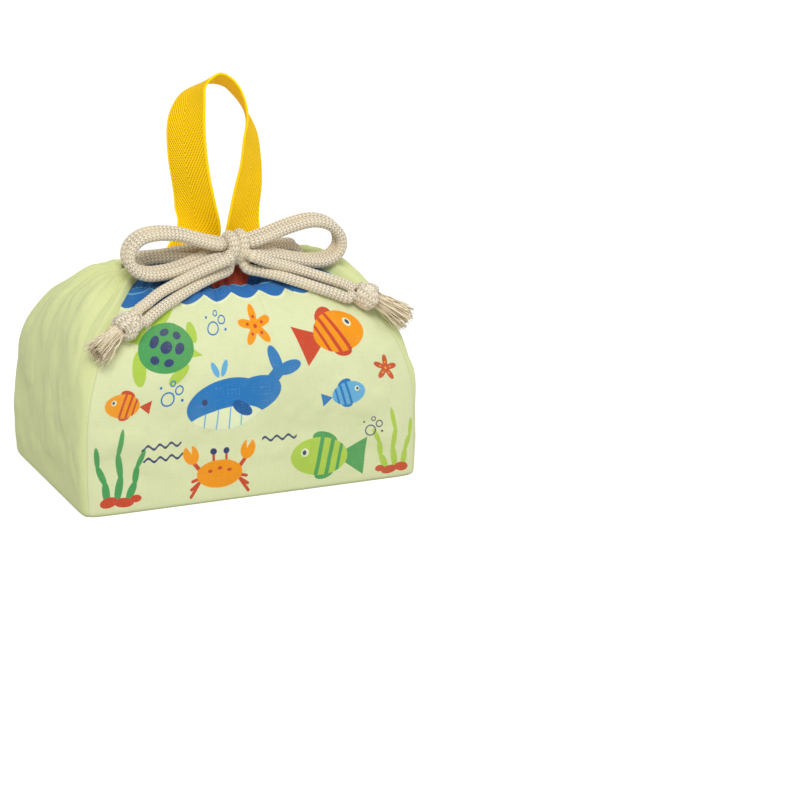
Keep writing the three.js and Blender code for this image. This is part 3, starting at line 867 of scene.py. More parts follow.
# each row: how far up, how far from the rim's width and depth to the base's, and squareness
wall_rows = [
    (0.0, 1.0, 1.0, 26.0), (0.195, 1.03, 1.015, 22.0), (0.44, 1.035, 1.005, 15.0),
    (0.57, 1.0, 0.975, 10.0), (0.69, 0.92, 0.899, 6.8), (0.785, 0.806, 0.772, 5.2),
    (0.863, 0.655, 0.608, 4.1), (0.92, 0.471, 0.418, 3.5), (0.962, 0.28, 0.215, 3.4),
    (0.985, 0.125, 0.08, 3.5), (1.0, 0.0, 0.0, 3.5),
]
WALL_STEPS = 128


def loft_rows():
    """Outline half depth, height, half width and squareness, from the base to the rim."""
    rows = [(BASE_DEEP - 0.5, 0.35, BASE_WIDE - 0.5, 26.0)]
    for rise, across, deep, square in wall_rows:
        rows.append((RIM_DEEP + (BASE_DEEP - RIM_DEEP) * deep,
                     FOOT_HEIGHT + (RIM_HEIGHT - FOOT_HEIGHT) * rise,
                     RIM_WIDE + (BASE_WIDE - RIM_WIDE) * across, square))
    return spline(rows, WALL_STEPS).T


half_depth, height, half_width, squareness = loft_rows()


def outline_points(reach, out, n, shares):
    """Points on one wall of a rounded-square outline, evenly spread by length."""
    corner = reach * 2 ** (-1 / n)
    x = corner * np.sin(np.linspace(-0.5, 0.5, 401) * math.pi)
    y = out * (1 - (np.abs(x) / reach) ** n) ** (1 / n)
    run = np.r_[0, np.cumsum(np.hypot(np.diff(x), np.diff(y)))]
    at = (shares + 1) / 2 * run[-1]
    return np.interp(at, run, x), np.interp(at, run, y)


print("wall outlines:", len(height), "from", round(height[0], 1), "to", round(height[-1], 1), "mm")

# %% [markdown]
# Gathered cloth rises in round puffs with sharp creases between them. Each pleat here has its own
# width on the flat cloth and its own length below the mouth, so no two are alike. Longer, softer
# dents and bulges are laid under them, because a bag with a box in it is never quite flat. A fold
# line runs where a dent turns into a bulge.

# %% Work out pleats and dents
def smooth_ramp(value, start, end):
    t = np.clip((value - start) / (end - start), 0, 1)
    return t * t * (3 - 2 * t)


def pleat_table(half, widths, lengths, seed):
    """The edges of the pleats across a cloth, and how long and how strong each one is."""
    rng = np.random.default_rng(seed)
    edges = [-half]
    while edges[-1] < half:
        edges.append(edges[-1] + rng.uniform(*widths))
    squeeze = 2 * half / (edges[-1] + half)
    edges = np.array(edges) * squeeze + half * (squeeze - 1)
    return edges, rng.uniform(*lengths, len(edges)), rng.uniform(0.45, 1.0, len(edges))


def pleats(flat_x, below_rim, table, meander):
    """Height of the puffs, 0 to 1, where flat_x is across the cloth and below_rim down it."""
    edges, lengths, strength = table
    x = flat_x + meander * np.sin(below_rim * 0.09 + flat_x * 0.05)
    x = np.clip(x, edges[0] + 1e-6, edges[-1] - 1e-6)
    cell = np.searchsorted(edges, x, side="right") - 1
    f = (x - edges[cell]) / (edges[cell + 1] - edges[cell])
    puff = np.sin(math.pi * f) ** 0.7
    fade = np.clip(1 - below_rim / lengths[cell], 0, 1)
    fade = fade * fade * (3 - 2 * fade)
    return puff * fade * strength[cell]


FOLD = 2.3


def main_folds(flat_x, below_rim, cut):
    """The broad folds, as puff and height: each has its own length, a share of the rim height."""
    middling = np.array(cut["creases"]) - 0.5
    edges = cut["half"] * (middling + 0.5 * np.sin(math.pi * middling))
    lengths, heights = np.array(cut["folds"]).T
    cell = np.clip(np.searchsorted(edges, flat_x, side="right") - 1, 0, len(lengths) - 1)
    f = np.clip((flat_x - edges[cell]) / (edges[cell + 1] - edges[cell]), 0, 1)
    fade = 1 - smooth_ramp(below_rim, 0, lengths[cell] * RIM_HEIGHT)
    fade = fade * smooth_ramp(below_rim, 0, 9)
    return np.sin(math.pi * f) ** 0.7, FOLD * heights[cell] * fade


def dents(x, y, seed, size):
    """Slow bulges and hollows, about -1 to 1."""
    rng = np.random.default_rng(seed)
    total = np.zeros_like(x)
    for octave in range(5):
        wave = size / (1.45 ** octave)
        angle, phase = rng.uniform(0, math.pi), rng.uniform(0, 6.28)
        along = (x * math.cos(angle) + y * math.sin(angle)) * 2 * math.pi / wave
        cross = (y * math.cos(angle) - x * math.sin(angle)) * 2 * math.pi / (wave * 1.7)
        total += np.sin(along + phase + 1.3 * np.sin(cross)) / (1.6 ** octave)
    return total / 2.1


print("pleats ready")

# %% [markdown]
# The four walls are made alike and differ only in numbers: how wide the flat cloth is, how its
# pleats and folds are spread and how deep its dents are. So the numbers stand in a table for each
# kind of wall, and one function works out the relief of any of them.

# %% Cut the cloths and work out their relief
CLOTH = 0.9 * MM
BASE_CLOTH = 0.6 * MM
HEM_START = 0.9
PANEL = {
    "half": 85.0, "columns": 231, "close": 14,
    "creases": [0, 0.15, 0.28, 0.42, 0.56, 0.69, 0.84, 1],
    "folds": [(0.62, 0.9), (0.4, 0.7), (0.52, 1), (0.36, 0.8), (0.48, 1), (0.38, 0.75), (0.6, 0.9)],
    "wide": ((10, 17), (18, 44)), "wide_lift": 2.2, "meander": 2.2,
    "fine": ((4.5, 8.0), (7, 18)), "fine_lift": 2.0, "fine_seed": 7,
    "dent_seed": 1, "dent_size": 48.0, "dent_squash": 1.0, "dent_lift": 0.95, "fold_line": (0.15, 0.2),
}
GUSSET = {
    "half": 55.0, "columns": 151, "close": 16,
    "creases": [0, 0.24, 0.46, 0.65, 0.83, 1],
    "folds": [(0.75, 0.85), (0.9, 1), (0.7, 0.8), (0.95, 1), (0.66, 0.75)],
    "wide": ((9, 15), (26, 62)), "wide_lift": 2.6, "meander": 2.4,
    "fine": ((4.5, 8), (8, 20)), "fine_lift": 1.1, "fine_seed": 5,
    "dent_seed": 2, "dent_size": 40.0, "dent_squash": 0.6, "dent_lift": 1.35, "fold_line": (0.3, 0.22),
}


def wall_levels(shares, at_end):
    """One wall's points, level by level, in millimetres: a wall at the bag's end or at its front."""
    wall = []
    for b, z, a, n in zip(half_depth, height, half_width, squareness):
        x, y = outline_points(b, a, n, shares) if at_end else outline_points(a, b, n, shares)
        wall.append(np.stack([y, x, np.full_like(x, z)] if at_end else [x, -y, np.full_like(x, z)], 1))
    return np.array(wall)


def turned_hem(places, count):
    """A hem's section, inward and up, and how far past the rim its points lie on the flat cloth."""
    fold = spline([(inward, z, 0) for inward, z in places], count)[1:]
    return fold[:, :2], run_of(fold) + HEM_START


def flat_places(wall, hem_run, shares, cut):
    """How far across, up and below the rim each point lies on the flat cloth."""
    run = run_of(wall[:, len(shares) // 2])
    up = np.r_[run, run[-1] + hem_run][:, None] * np.ones_like(shares)
    return np.broadcast_to(shares * cut["half"], up.shape), up, run[-1] - up


def relief(across, up, depth, cut, seed):
    """What every gathered cloth has: the pleats' puffs, and its dents with their fold lines."""
    seam = 1 - np.exp(-((cut["half"] - np.abs(across)) / 4.0) ** 2)
    below_rim = np.maximum(depth, 0)
    wide = pleat_table(cut["half"], *cut["wide"], seed)
    fine = pleat_table(cut["half"], *cut["fine"], seed + cut["fine_seed"])
    puff = cut["wide_lift"] * pleats(across, below_rim, wide, cut["meander"])
    puff = puff + cut["fine_lift"] * pleats(across, below_rim, fine, 1.0)
    body = smooth_ramp(up, 2, 20) * smooth_ramp(depth, 4, 30)
    dent = dents(across, up * cut["dent_squash"], seed + cut["dent_seed"], cut["dent_size"])
    line_lift, line_width = cut["fold_line"]
    line = line_lift * np.exp(-((dent / line_width) ** 2))
    bumps = seam * body * (cut["dent_lift"] * dent - line)
    bumps = bumps - 0.3 * (1 - seam) * smooth_ramp(up, 0, 6)
    bumps = bumps - 0.75 * smooth_ramp(depth, cut["close"], 0)
    return puff * (0.25 + 0.75 * seam), bumps


def outward(grid):
    """Unit normals of a grid of points."""
    du = np.gradient(grid, axis=1)
    dv = np.gradient(grid, axis=0)
    normal = np.cross(du, dv)
    return normal / np.maximum(np.linalg.norm(normal, axis=2), 1e-9)[..., None]


def thicken(piece, thickness, lining=0):
    """Give a cloth its thickness, inwards; its reverse has the finish that many places on."""
    solid = piece.modifiers.new("cloth", "SOLIDIFY")
    solid.thickness, solid.offset, solid.material_offset = thickness, -1.0, lining


def cloth_mesh(name, grid, lift, across, up, turned):
    """A grid of cloth, raised by its lift, its print side out and its reverse side in."""
    grid = grid + lift[..., None] * outward(grid)
    if turned:
        grid = grid * (-1, -1, 1)
    index = np.arange(up.size).reshape(up.shape)
    corners = [index[:-1, :-1], index[:-1, 1:], index[1:, 1:], index[1:, :-1]]
    faces = np.stack([corner.ravel() for corner in corners], 1)
    flat = np.stack([across, up], 2).reshape(-1, 2)
    panel = make_mesh(name, grid.reshape(-1, 3) * MM, faces, flat)
    thicken(panel, CLOTH, lining=1)
    return panel, flat


print("cloths cut: panels", 2 * PANEL["half"], "mm wide, gussets", 2 * GUSSET["half"], "mm")

# %% [markdown]
# A front or back panel runs on past the rim: it turns over the cords as the sleeve, a tunnel
# sewn shut underneath, and comes down again inside the mouth. Below the tunnel the gathering
# draws the cloth in, so it dips behind the crest that faces the front.

# %% Build the printed panels with their sleeves
SLEEVE_FOLD = [(0.0, 102.0), (0.45, 103.3), (1.7, 104.6), (4.2, 105.2), (6.5, 104.7), (8.0, 103.2),
               (8.5, 100.5), (8.6, 96.0), (8.5, 91.5)]


def printed_panel(name, turned, seed):
    shares = np.linspace(-1, 1, PANEL["columns"])
    wall = wall_levels(shares, at_end=False)
    fold, fold_run = turned_hem(SLEEVE_FOLD, 30)
    across, up, depth = flat_places(wall, fold_run, shares, PANEL)
    below = depth[:WALL_STEPS]
    rim = wall[-1]
    over = 1 - smooth_ramp(np.abs(rim[:, 0]), 29.5, 35.5)
    tunnel = []
    for inward, z in fold:
        rise = (z - RIM_HEIGHT) * (over if z < RIM_HEIGHT else 0.35 + 0.65 * over)
        tunnel.append(rim + np.stack([0 * over, inward * (0.1 + 0.9 * over), rise], 1))
    # the cloth is drawn in below the tunnel and stands up as a crest in front of it
    drawn = np.exp(-((wall[..., 0]) / 33) ** 4)
    drawn = drawn * (1 + 0.22 * np.sin(wall[..., 0] * 0.33 + seed))
    wall[..., 2] -= drawn * 6.2 * np.exp(-((below - 6.6) / 4.4) ** 2)
    wall[..., 2] += (1.2 + 0.5 * drawn) * np.exp(-((below - 20) / 8) ** 2)
    grid = np.concatenate([wall, tunnel])
    inner = smooth_ramp(-depth, 9.0, 12.5)
    round_share, rise = main_folds(across, np.maximum(depth, 0), PANEL)
    if turned:
        main = rise * round_share
    else:
        main = rise * (round_share - 1) * np.cos(across / PANEL["half"] * math.pi / 2)
    puff, bumps = relief(across, up, depth, PANEL, seed)
    puff = puff * (1 - inner) * (0.75 + 0.25 * smooth_ramp(depth, -6, 2))
    return cloth_mesh(name, grid, puff + main + bumps - 0.35 * inner, across, up, turned)


front_cloth, front_flat = printed_panel("front_cloth", False, 11)
back_cloth, back_flat = printed_panel("back_cloth", True, 29)
RIM_AT = float(front_flat[(WALL_STEPS - 1) * PANEL["columns"], 1])
print("printed panels: flat height to the rim", round(RIM_AT, 1), "mm")

# %% [markdown]
# The gussets are plain. Their pleats are wider and run far down from the mouth's ends, where the
# cords come out over them. At the rim each has only a narrow rolled hem.

# %% Build the gussets
GUSSET_HEM = [(0, 102), (0.7, 102.7), (1.8, 102.3), (2.3, 100.8), (2.4, 98.4)]


def gusset(name, turned, seed):
    shares = np.linspace(-1, 1, GUSSET["columns"])
    wall = wall_levels(shares, at_end=True)
    hem, hem_run = turned_hem(GUSSET_HEM, 9)
    across, up, depth = flat_places(wall, hem_run, shares, GUSSET)
    lip = [wall[-1] + np.array([-inward, 0, z - RIM_HEIGHT]) for inward, z in hem]
    grid = np.concatenate([wall, lip])
    round_share, rise = main_folds(across, np.maximum(depth, 0), GUSSET)
    puff, bumps = relief(across, up, depth, GUSSET, seed)
    return cloth_mesh(name, grid, rise * round_share + puff + bumps, across, up, turned)


right_cloth, right_flat = gusset("right_gusset_cloth", False, 43)
left_cloth, left_flat = gusset("left_gusset_cloth", True, 61)
print("gussets built")

# %% [markdown]
# The base is one flat piece that the box inside keeps down. Its edge follows the foot of the
# walls, and its middle rises by a hair, as cloth does between the seams.

# %% Build the base
BASE_POINTS, BASE_RINGS = 160, 14


def base_cloth():
    a, b, n = half_width[0] - 0.1, half_depth[0] - 0.1, squareness[0]
    turns = np.linspace(0, 2 * math.pi, BASE_POINTS, endpoint=False)
    c, s = np.cos(turns), np.sin(turns)
    reach = (np.abs(c / a) ** n + np.abs(s / b) ** n) ** (-1 / n)
    edge = np.stack([reach * c, reach * s], 1)
    vertices = [(0, 0, 0.95)]
    for ring in range(1, BASE_RINGS + 1):
        share = ring / BASE_RINGS
        lift = 0.95 - 0.12 * math.sin(share * 9) * (1 - share) if ring < BASE_RINGS else 0.62
        vertices += [(x, y, lift) for x, y in edge * share]
    faces = [(0, 1 + j, 1 + (j + 1) % BASE_POINTS) for j in range(BASE_POINTS)]
    faces += tube_faces(BASE_POINTS, BASE_RINGS, 1, turned=True)[:-2]
    vertices = np.array(vertices)
    base = make_mesh("base_cloth", vertices * MM, faces, vertices[:, :2])
    thicken(base, BASE_CLOTH)
    return base


base = base_cloth()
print("base built")

# %% [markdown]
# The print is drawn on the flat cloth, before it is gathered. Each shape is a distance in
# millimetres, negative inside, so shapes join with a minimum, and a shape cut by another is a
# maximum. A soft step a quarter of a millimetre wide turns the distance into ink with a crisp
# edge. The motifs are a sea full of simple animals, in flat inks like those of cheerful cotton.

# %% A stencil that lays ink on the flat cloth
SOFT_EDGE = 0.14


class Ink:
    """The colours printed so far, over a cloth whose flat place is known."""

    def __init__(self, finish, ground):
        self.finish = finish
        self.across, self.up = finish.flat_place()
        self.spot = finish.vector(self.across, self.up, 1.0)
        self.colour = ground

    def lay(self, shape, colour):
        share = self.finish.step(shape, SOFT_EDGE, -SOFT_EDGE)
        self.colour = self.finish.mix(share, self.colour, colour)


class Stencil:
    """Places shapes round one motif's own middle, turned, sized and perhaps flipped."""

    def __init__(self, ink, x=0, y=0, turn=0.0, size=1.0, flip=1):
        self.ink, self.f = ink, ink.finish
        self.x, self.y, self.turn, self.size, self.flip = x, y, turn, size, flip

    def local(self, x, y, turn, wide=1.0, tall=1.0, shift=0.0):
        """Two numbers that measure across and up from a shape's own middle, in its half sizes."""
        c, s = math.cos(math.radians(self.turn)), math.sin(math.radians(self.turn))
        lx, ly = x * self.flip * self.size, y * self.size
        px, py = self.x + c * lx - s * ly, self.y + s * lx + c * ly
        angle = math.radians(self.turn + turn * self.flip)
        c, s = math.cos(angle), math.sin(angle)
        return (self.measure(c, s, px, py, wide, 0.0), self.measure(-s, c, px, py, tall, shift))

    def measure(self, a, b, px, py, unit, shift):
        unit = unit * self.size
        row = (a / unit, b / unit, -(a * px + b * py) / unit + shift)
        inputs = {0: self.ink.spot, 1: row}
        made = self.f.node("ShaderNodeVectorMath", {"operation": "DOT_PRODUCT"}, inputs)
        return Field(self.f, made.outputs["Value"])

    def round_about(self, u, v, radius):
        """Signed distance from a circle whose place is given in radii."""
        reach = self.f.math("MULTIPLY_ADD", u, u, v * v)
        return self.f.math("MULTIPLY_ADD", reach, radius / 2, -radius / 2)

    def oval(self, x, y, wide, tall, turn=0.0):
        u, v = self.local(x, y, turn, wide, tall)
        return self.round_about(u, v, min(wide, tall) * self.size)

    def bar(self, x, y, length, thick, turn=0.0):
        """A bar with round ends, or a line when it is thin."""
        u, v = self.local(x, y, turn, thick / 2, thick / 2)
        half = max(length - thick, 0) / thick
        middle = self.f.node("ShaderNodeClamp", inputs={"Value": u, "Min": -half, "Max": half})
        return self.round_about(u - Field(self.f, middle.outputs[0]), v, thick / 2 * self.size)

    def wedge(self, x, y, half, tall, turn=0.0):
        """A triangle on a base, pointing along its own upward direction."""
        slant = math.hypot(half, tall)
        u, v = self.local(x, y, turn, slant / tall, slant / half)
        side = self.f.math("ABSOLUTE", u) + v - half * tall / slant * self.size
        return self.f.math("MAXIMUM", side, v * (-slant / half))

    def star(self, reach, arms=5.0, waist=0.36):
        """A rounded star whose hollows come in to a share of its reach."""
        u, v = self.local(0, 0, 0.0)
        rays = self.f.math("COSINE", self.f.math("ARCTAN2", v, u) * arms)
        limit = self.f.math("MULTIPLY_ADD", rays, reach * (1 - waist) / 2, reach * (1 + waist) / 2)
        away = self.f.math("SQRT", self.f.math("MULTIPLY_ADD", u, u, v * v))
        return (away - limit) * 0.7

    def ring(self, x, y, radius, thick):
        return self.f.math("ABSOLUTE", self.oval(x, y, radius, radius)) - thick / 2 * self.size

    def join(self, *shapes):
        joined = shapes[0]
        for shape in shapes[1:]:
            joined = self.f.math("MINIMUM", joined, shape)
        return joined

    def ovals(self, *places):
        return self.join(*[self.oval(*place) for place in places])

    def bars(self, *places):
        return self.join(*[self.bar(*place) for place in places])

    def within(self, shape, limit):
        return self.f.math("MAXIMUM", shape, limit)

    def lay(self, shape, colour):
        self.ink.lay(shape, colour)


INKS = ("2279BE", "1F5F9F", "66B0DC", "1D6BB2", "35406E", "F69A10", "CE4A2C", "4BA05A", "B2D14C", "E9F0C4")
BLUE, DEEP_BLUE, SKY_BLUE, WAVE_BLUE, NAVY, ORANGE, BRICK, GREEN, LIME, PALE = map(shade, INKS)
print("inks:", len(INKS))

# %% [markdown]
# Each motif is a few ovals, bars and triangles. Drawing them as functions lets one whale face
# left and another right, and keeps every animal a plain, rounded stencil.

# %% Draw the sea animals
def draw_whale(s):
    body = s.join(s.ovals((-3, 0, 23, 13), (10, 1, 18, 9.6, 12)), s.bar(25, 9, 16, 6.4, 40),
                  s.ovals((27, 17, 8, 3.4, 100), (34, 12, 8, 3.4, 8)))
    s.lay(body, BLUE)
    belly = s.within(s.oval(-7, -12, 24, 10, 4), body)
    s.lay(belly, PALE)
    for x in (-17, -10, -3, 4):
        s.lay(s.within(s.bar(x, -8, 12, 0.7, 78), belly), SKY_BLUE)
    s.lay(s.oval(5, -4, 6.5, 3.2, -38), DEEP_BLUE)
    s.lay(s.oval(-16, 3, 1.5, 1.7), NAVY)
    s.lay(s.ovals((-9, 18.5, 1.7, 4.4, 24), (-3.5, 18.5, 1.7, 4.4, -24)), SKY_BLUE)


def draw_fish(s, skin, stripe, fin):
    s.lay(s.wedge(21, 0, 7.5, 13, 90), fin)
    s.lay(s.ovals((1, 7.5, 6, 3.2, -14), (2, -7.5, 4.5, 2.6, 16)), fin)
    body = s.oval(-1, 0, 13.5, 8.4)
    s.lay(body, skin)
    bands = s.bars((-1, 0, 20, 1.9, 84), (4, 0, 20, 1.9, 84), (8.6, 0, 20, 1.5, 84))
    s.lay(s.within(bands, body), stripe)
    s.lay(s.oval(-8.2, 1.8, 1.9, 1.9), PALE)
    s.lay(s.oval(-8.5, 1.8, 0.95, 1.1), NAVY)


def draw_turtle(s):
    limbs = s.ovals((-10, -11, 3.4, 8, 32), (11, -10, 2.8, 6, -36), (-8, 11.5, 3.2, 7, -34),
                    (12, 9, 2.6, 5.4, 40))
    head = s.ovals((-19.5, 3, 5.4, 4.4, 16), (-14, 1.5, 5, 3, 16))
    s.lay(s.join(limbs, head, s.wedge(14, 0, 2.2, 6.5, -90)), LIME)
    s.lay(s.oval(0, 0, 15.5, 11), GREEN)
    plates = s.ovals((0, 0, 3.2, 2.8), (-7.4, 1.2, 2.5, 2.9), (7.4, 0.8, 2.5, 2.7),
                     (-3.8, 6.3, 2.6, 1.7, 12), (3.9, 6.2, 2.5, 1.7, -12),
                     (-3.8, -6.2, 2.6, 1.7, -12), (3.9, -6.1, 2.5, 1.7, 12))
    s.lay(plates, NAVY)
    s.lay(s.oval(-21.2, 4.2, 0.9, 1.1), NAVY)


def draw_crab(s):
    legs = s.bars(*[(side * (9.5 + 1.2 * k), -1.5 - 2.6 * k, 8.5, 1.5, side * (-16 - 20 * k))
                    for side in (-1, 1) for k in range(3)])
    arms = s.bars((-11, 4.5, 8, 1.9, -52), (11, 4.5, 8, 1.9, 52))
    stalks = s.bars((-3, 8, 5, 1.2, 90), (3, 8, 5, 1.2, 90))
    claws = s.ovals((-13.6, 10, 3.6, 4.6, 22), (13.6, 10, 3.6, 4.6, -22))
    bite = s.join(s.wedge(-14.9, 15.4, 1.7, 5.2, 200), s.wedge(14.9, 15.4, 1.7, 5.2, 160))
    claws = s.within(claws, -bite)
    s.lay(s.join(legs, arms, stalks), BRICK)
    s.lay(s.join(claws, s.oval(0, 0, 10.8, 6.6)), ORANGE)
    s.lay(s.ovals((-3, 10.6, 1.5, 1.5), (3, 10.6, 1.5, 1.5)), NAVY)
    s.lay(s.ovals((-4.5, 1.5, 1.1, 0.8), (0, 2.7, 1.1, 0.8), (4.5, 1.5, 1.1, 0.8)), BRICK)


def draw_starfish(s, skin, spots):
    s.lay(s.star(10.5), skin)
    angles = [2 * math.pi * k / 5 for k in range(5)]
    dots = [(4.6 * math.cos(angle), 4.6 * math.sin(angle), 0.85, 0.85) for angle in angles]
    s.lay(s.ovals((0, 0, 1.1, 1.1), *dots), spots)


def draw_weed(s, leaf, stone):
    blades = []
    for lean, x, tall in ((-14, -5, 5.6), (2, 0, 7.2), (17, 5.2, 5.0)):
        for k in range(3):
            sway = 9 if k % 2 else -9
            up = tall * (0.8 + 1.5 * k)
            shift = math.tan(math.radians(-lean)) * up
            blades.append((x - shift, up, 1.9 - 0.3 * k, tall, sway - lean))
    s.lay(s.ovals(*blades), leaf)
    s.lay(s.ovals((-5, -0.5, 4.4, 2.6, 12), (2.5, -1.3, 5.0, 2.4, -6), (8.5, 0, 2.8, 1.9)), stone)


def draw_bubbles(s, colour):
    s.lay(s.join(s.ring(0, 0, 4.2, 1.0), s.ring(7.5, 5.0, 2.7, 0.9), s.ring(2.5, 9.5, 1.7, 0.8),
                 s.oval(10, -1.5, 1.0, 1.0), s.oval(-5.5, 7.5, 0.9, 0.9)), colour)


def draw_ripples(s, x, y, wide, rows, colour):
    """Rows of small waves, cut off by a bar with round ends."""
    sway = s.f.math("SINE", s.ink.across * 1.05) * 0.95
    level = s.f.math("PINGPONG", s.ink.up + sway - y, 3.0) - 0.62
    s.lay(s.within(s.bar(x, y + 3.0 * (rows - 1), wide, 6.0 * rows), level), colour)


print("motifs: whale, fish, turtle, crab, starfish, weed, bubbles, ripples")

# %% [markdown]
# The cotton itself is a plain weave of fine yarns. At arm's length one sees slubs, thicker bits of
# yarn that run along the warp or the weft, rather than single threads, so both are made: threads
# as a fine bump, slubs as faint streaks in the colour, with painted shade in the hollows between
# them. The print sinks into the cloth, so the same threads and painted shade show through the ink.
# The inside of the cloth is plain and a little paler.

# %% Weave the cotton and print it
def weave(f, across, up):
    """Height of the threads, 0 to 1, and streaks of slubby yarn, about 0 to 1."""
    warp = f.math("SINE", across * 12.6) * 0.5 + 0.5
    weft = f.math("SINE", up * 12.6) * 0.5 + 0.5
    slub_across = f.noise(1.0, 2, f.vector(across * 0.12, up * 2.6))
    slub_up = f.noise(1.0, 2, f.vector(across * 2.6, up * 0.12, 9.0))
    return warp * 0.5 + weft * 0.5, slub_across * 0.5 + slub_up * 0.5


def weave_shade(f, colour, slub):
    """Lets the yarns show through: painted shade makes the hollows darker, and the raised slubs are
    lighter.
    """
    dark = f.mix(0.5, colour, shade("7E8A52"))
    # painted shade: darker where the slub bump is low, in its hollows
    hollow_shade = f.mix(f.step(slub, 0.46, 0.3) * 0.34, colour, dark)
    return f.mix(f.step(slub, 0.54, 0.7) * 0.14, hollow_shade, shade("FFFFF0"))


def cotton(name, ground, motifs=None):
    f = Finish(name, roughness=0.86, sheen=0.12)
    ink = Ink(f, shade(ground))
    if motifs is not None:
        motifs(ink)
    threads, slub = weave(f, ink.across, ink.up)
    slow = f.noise(22, 2)
    colour = weave_shade(f, ink.colour, slub)
    f.colour(f.mix(f.step(slow, 0.4, 0.75) * 0.1, colour, shade("B9C98A")))
    f.rough(0.8 + slub * 0.16)
    f.bump((threads, 0.05 * MM), (slub, 0.22 * MM))
    return f.material


def tunnel_stitches(ink, level, thread):
    """The line of machine stitches that closes a hem, on the flat cloth."""
    f = ink.finish
    dash = f.math("ABSOLUTE", f.math("PINGPONG", ink.across, 1.6)) - 1.05
    line = f.math("ABSOLUTE", ink.up - level) - 0.32
    ink.lay(f.math("MAXIMUM", dash, line), thread)


MOTIFS = [
    (draw_whale, (-12, 48, 5, 0.92), ()),
    (draw_turtle, (-50, 77, -14, 1.06), ()),
    (draw_fish, (51, 76, 12, 1.16, -1), (ORANGE, BRICK, BRICK)),
    (draw_starfish, (4, 83, 20, 1.0), (ORANGE, BRICK)),
    (draw_weed, (-70, 7, 0, 1.0), (GREEN, BRICK)),
    (draw_crab, (-19, 14, 0, 1.06), ()),
    (draw_fish, (34, 16, -6, 1.12), (LIME, GREEN, GREEN)),
    (draw_weed, (73, 6, 0, 0.88, -1), (LIME, BRICK)),
    (draw_starfish, (71, 56, 8, 0.62), (BRICK, ORANGE)),
    (draw_fish, (48, 46, 8, 0.66, -1), (SKY_BLUE, BLUE, BLUE)),
    (draw_fish, (-68, 52, -8, 0.66), (ORANGE, BRICK, BRICK)),
    (draw_bubbles, (-46, 53, 0, 0.75), (BLUE,)),
    (draw_bubbles, (-22, 84, 0, 0.75), (BLUE,)),
    (draw_bubbles, (60, 26, 0, 0.6), (NAVY,)),
]
BAND_AT, SWELL, SWELL_WIDE = 100.5, 4.2, 21


def sea_print(ink):
    """The wave band round the mouth, the motifs in order, and the hem's stitches on top."""
    f = ink.finish
    swell = f.math("ABSOLUTE", f.math("SINE", ink.across * (math.pi / SWELL_WIDE) + 0.9))
    edge = BAND_AT - swell * SWELL - ink.up
    ink.lay(edge - 1.3, PALE)
    ink.lay(edge, WAVE_BLUE)
    ink.lay(f.math("ABSOLUTE", edge + 8.5) - 0.5, SKY_BLUE)
    for draw, place, inks in MOTIFS:
        draw(Stencil(ink, *place), *inks)
    plain = Stencil(ink)
    # printed oval under the knot, partly painted shade: its brick red is orange print darkened as if in
    # shade
    plain.lay(plain.oval(1, 126, 27, 13), BRICK)
    draw_starfish(Stencil(ink, 0, 129, 30, 0.8), ORANGE, BRICK)
    draw_ripples(plain, -48, 25, 22, 2, NAVY)
    draw_ripples(plain, 12, 28, 18, 1, NAVY)
    tunnel_stitches(ink, RIM_AT - 10, SKY_BLUE)


print_finish = cotton("printed_cotton", "E1E7B5", sea_print)
plain_finish = cotton("plain_cotton", "DFE6A6")
reverse_finish = cotton("cotton_reverse", "E6EDC8")
print("print finish:", len(print_finish.node_tree.nodes), "nodes")

# %% [markdown]
# Each panel gets its print or plain finish outside and the reverse finish inside, and the size it
# was cut to is printed. The printed panels are as wide as the base and tall enough to go up, over
# the cords and down again; the seams and hems add a few millimetres that nobody sees.

# %% Dress the panels
panels = [
    (front_cloth, print_finish, ("front_panel", "front_sleeve"), "print_cloth", front_flat),
    (back_cloth, print_finish, ("back_panel", "back_sleeve"), "print_cloth", back_flat),
    (left_cloth, plain_finish, ("left_gusset",), "plain_cloth", left_flat),
    (right_cloth, plain_finish, ("right_gusset",), "plain_cloth", right_flat),
]
for piece, outside, nodes, slot, flat in panels:
    piece.data.materials.append(outside)
    piece.data.materials.append(reverse_finish)
    dress(piece, "bag", slot, *nodes)
    width, length = np.ptp(flat, axis=0) * MM
    print(piece.name, "cut", round(width / MM), "x", round(length / MM), "mm")
base.data.materials.append(plain_finish)
dress(base, "bag", "plain_cloth", "base_panel")

# %% [markdown]
# The setting is a plain photo table: a pale floor that only the camera sees as white, so that the
# bag still throws its soft shadow on it and gets no more light from it than from paper.

# %% Lay the floor and hang the lamps
FLOOR_GLOW = 0.62
FLOOR_GREY = 0.62
FLOOR_HALF = 40.0
SKY = 0.66
SEEN_RAYS = ("Is Camera Ray", "Is Glossy Ray", "Is Transmission Ray")


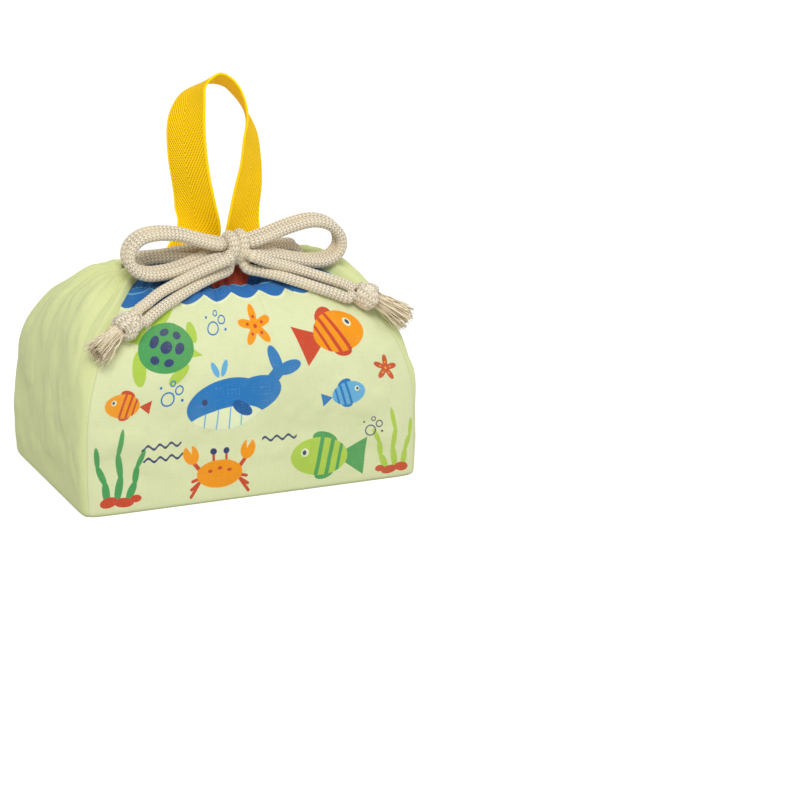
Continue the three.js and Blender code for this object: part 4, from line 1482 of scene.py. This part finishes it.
def seen_directly(finish):
    """1 where the camera, a mirror or a clear pane looks straight at the surface, else 0."""
    path = finish.node("ShaderNodeLightPath")
    camera_ray, glossy, clear = [path.outputs[ray] for ray in SEEN_RAYS]
    return finish.math("MAXIMUM", finish.math("MAXIMUM", camera_ray, glossy), clear)


def build_floor():
    corners = [(x * FLOOR_HALF, y * FLOOR_HALF, 0) for x, y in ((-1, -1), (1, -1), (1, 1), (-1, 1))]
    floor = make_mesh("floor", corners, [(0, 1, 2, 3)], smooth=False)
    f = Finish("floor_paper", roughness=0.95)
    f.colour((FLOOR_GREY, FLOOR_GREY, FLOOR_GREY, 1.0))
    f.glow(f.mix(seen_directly(f), (0, 0, 0, 1), (FLOOR_GLOW, FLOOR_GLOW, FLOOR_GLOW, 1)), 1.0)
    floor.data.materials.append(f.material)


def soft_lamp(name, place, aim, size, power):
    data = bpy.data.lights.new(name, "AREA")
    data.shape = "RECTANGLE"
    data.size, data.size_y = size
    data.energy = power
    lamp = bpy.data.objects.new(name, data)
    bpy.context.scene.collection.objects.link(lamp)
    lamp.location = place
    lamp.rotation_euler = (Vector(aim) - Vector(place)).to_track_quat("-Z", "Y").to_euler()


def build_world():
    """White where it is looked at, and a softer white for the light that it gives."""
    world = bpy.data.worlds.new("studio")
    bpy.context.scene.world = world
    sky = Nodes(world)
    path = sky.node("ShaderNodeLightPath")
    white = sky.node("ShaderNodeBackground", inputs={"Color": (1, 1, 1, 1)}).outputs[0]
    shader = sky.node("ShaderNodeBackground", inputs={"Strength": SKY}).outputs[0]
    for ray in SEEN_RAYS:
        inputs = {0: path.outputs[ray], 1: shader, 2: white}
        shader = sky.node("ShaderNodeMixShader", inputs=inputs).outputs[0]
    sky.node("ShaderNodeOutputWorld", inputs={"Surface": shader})


build_floor()
build_world()
soft_lamp("key", (-0.55, -1.3, 1.5), (0, 0, 0.1), (0.8, 0.8), 20)
soft_lamp("fill", (1.3, -0.9, 0.8), (0, 0, 0.1), (1.2, 1.2), 4.5)
bpy.context.scene.view_settings.view_transform = "Standard"
print("stage set")
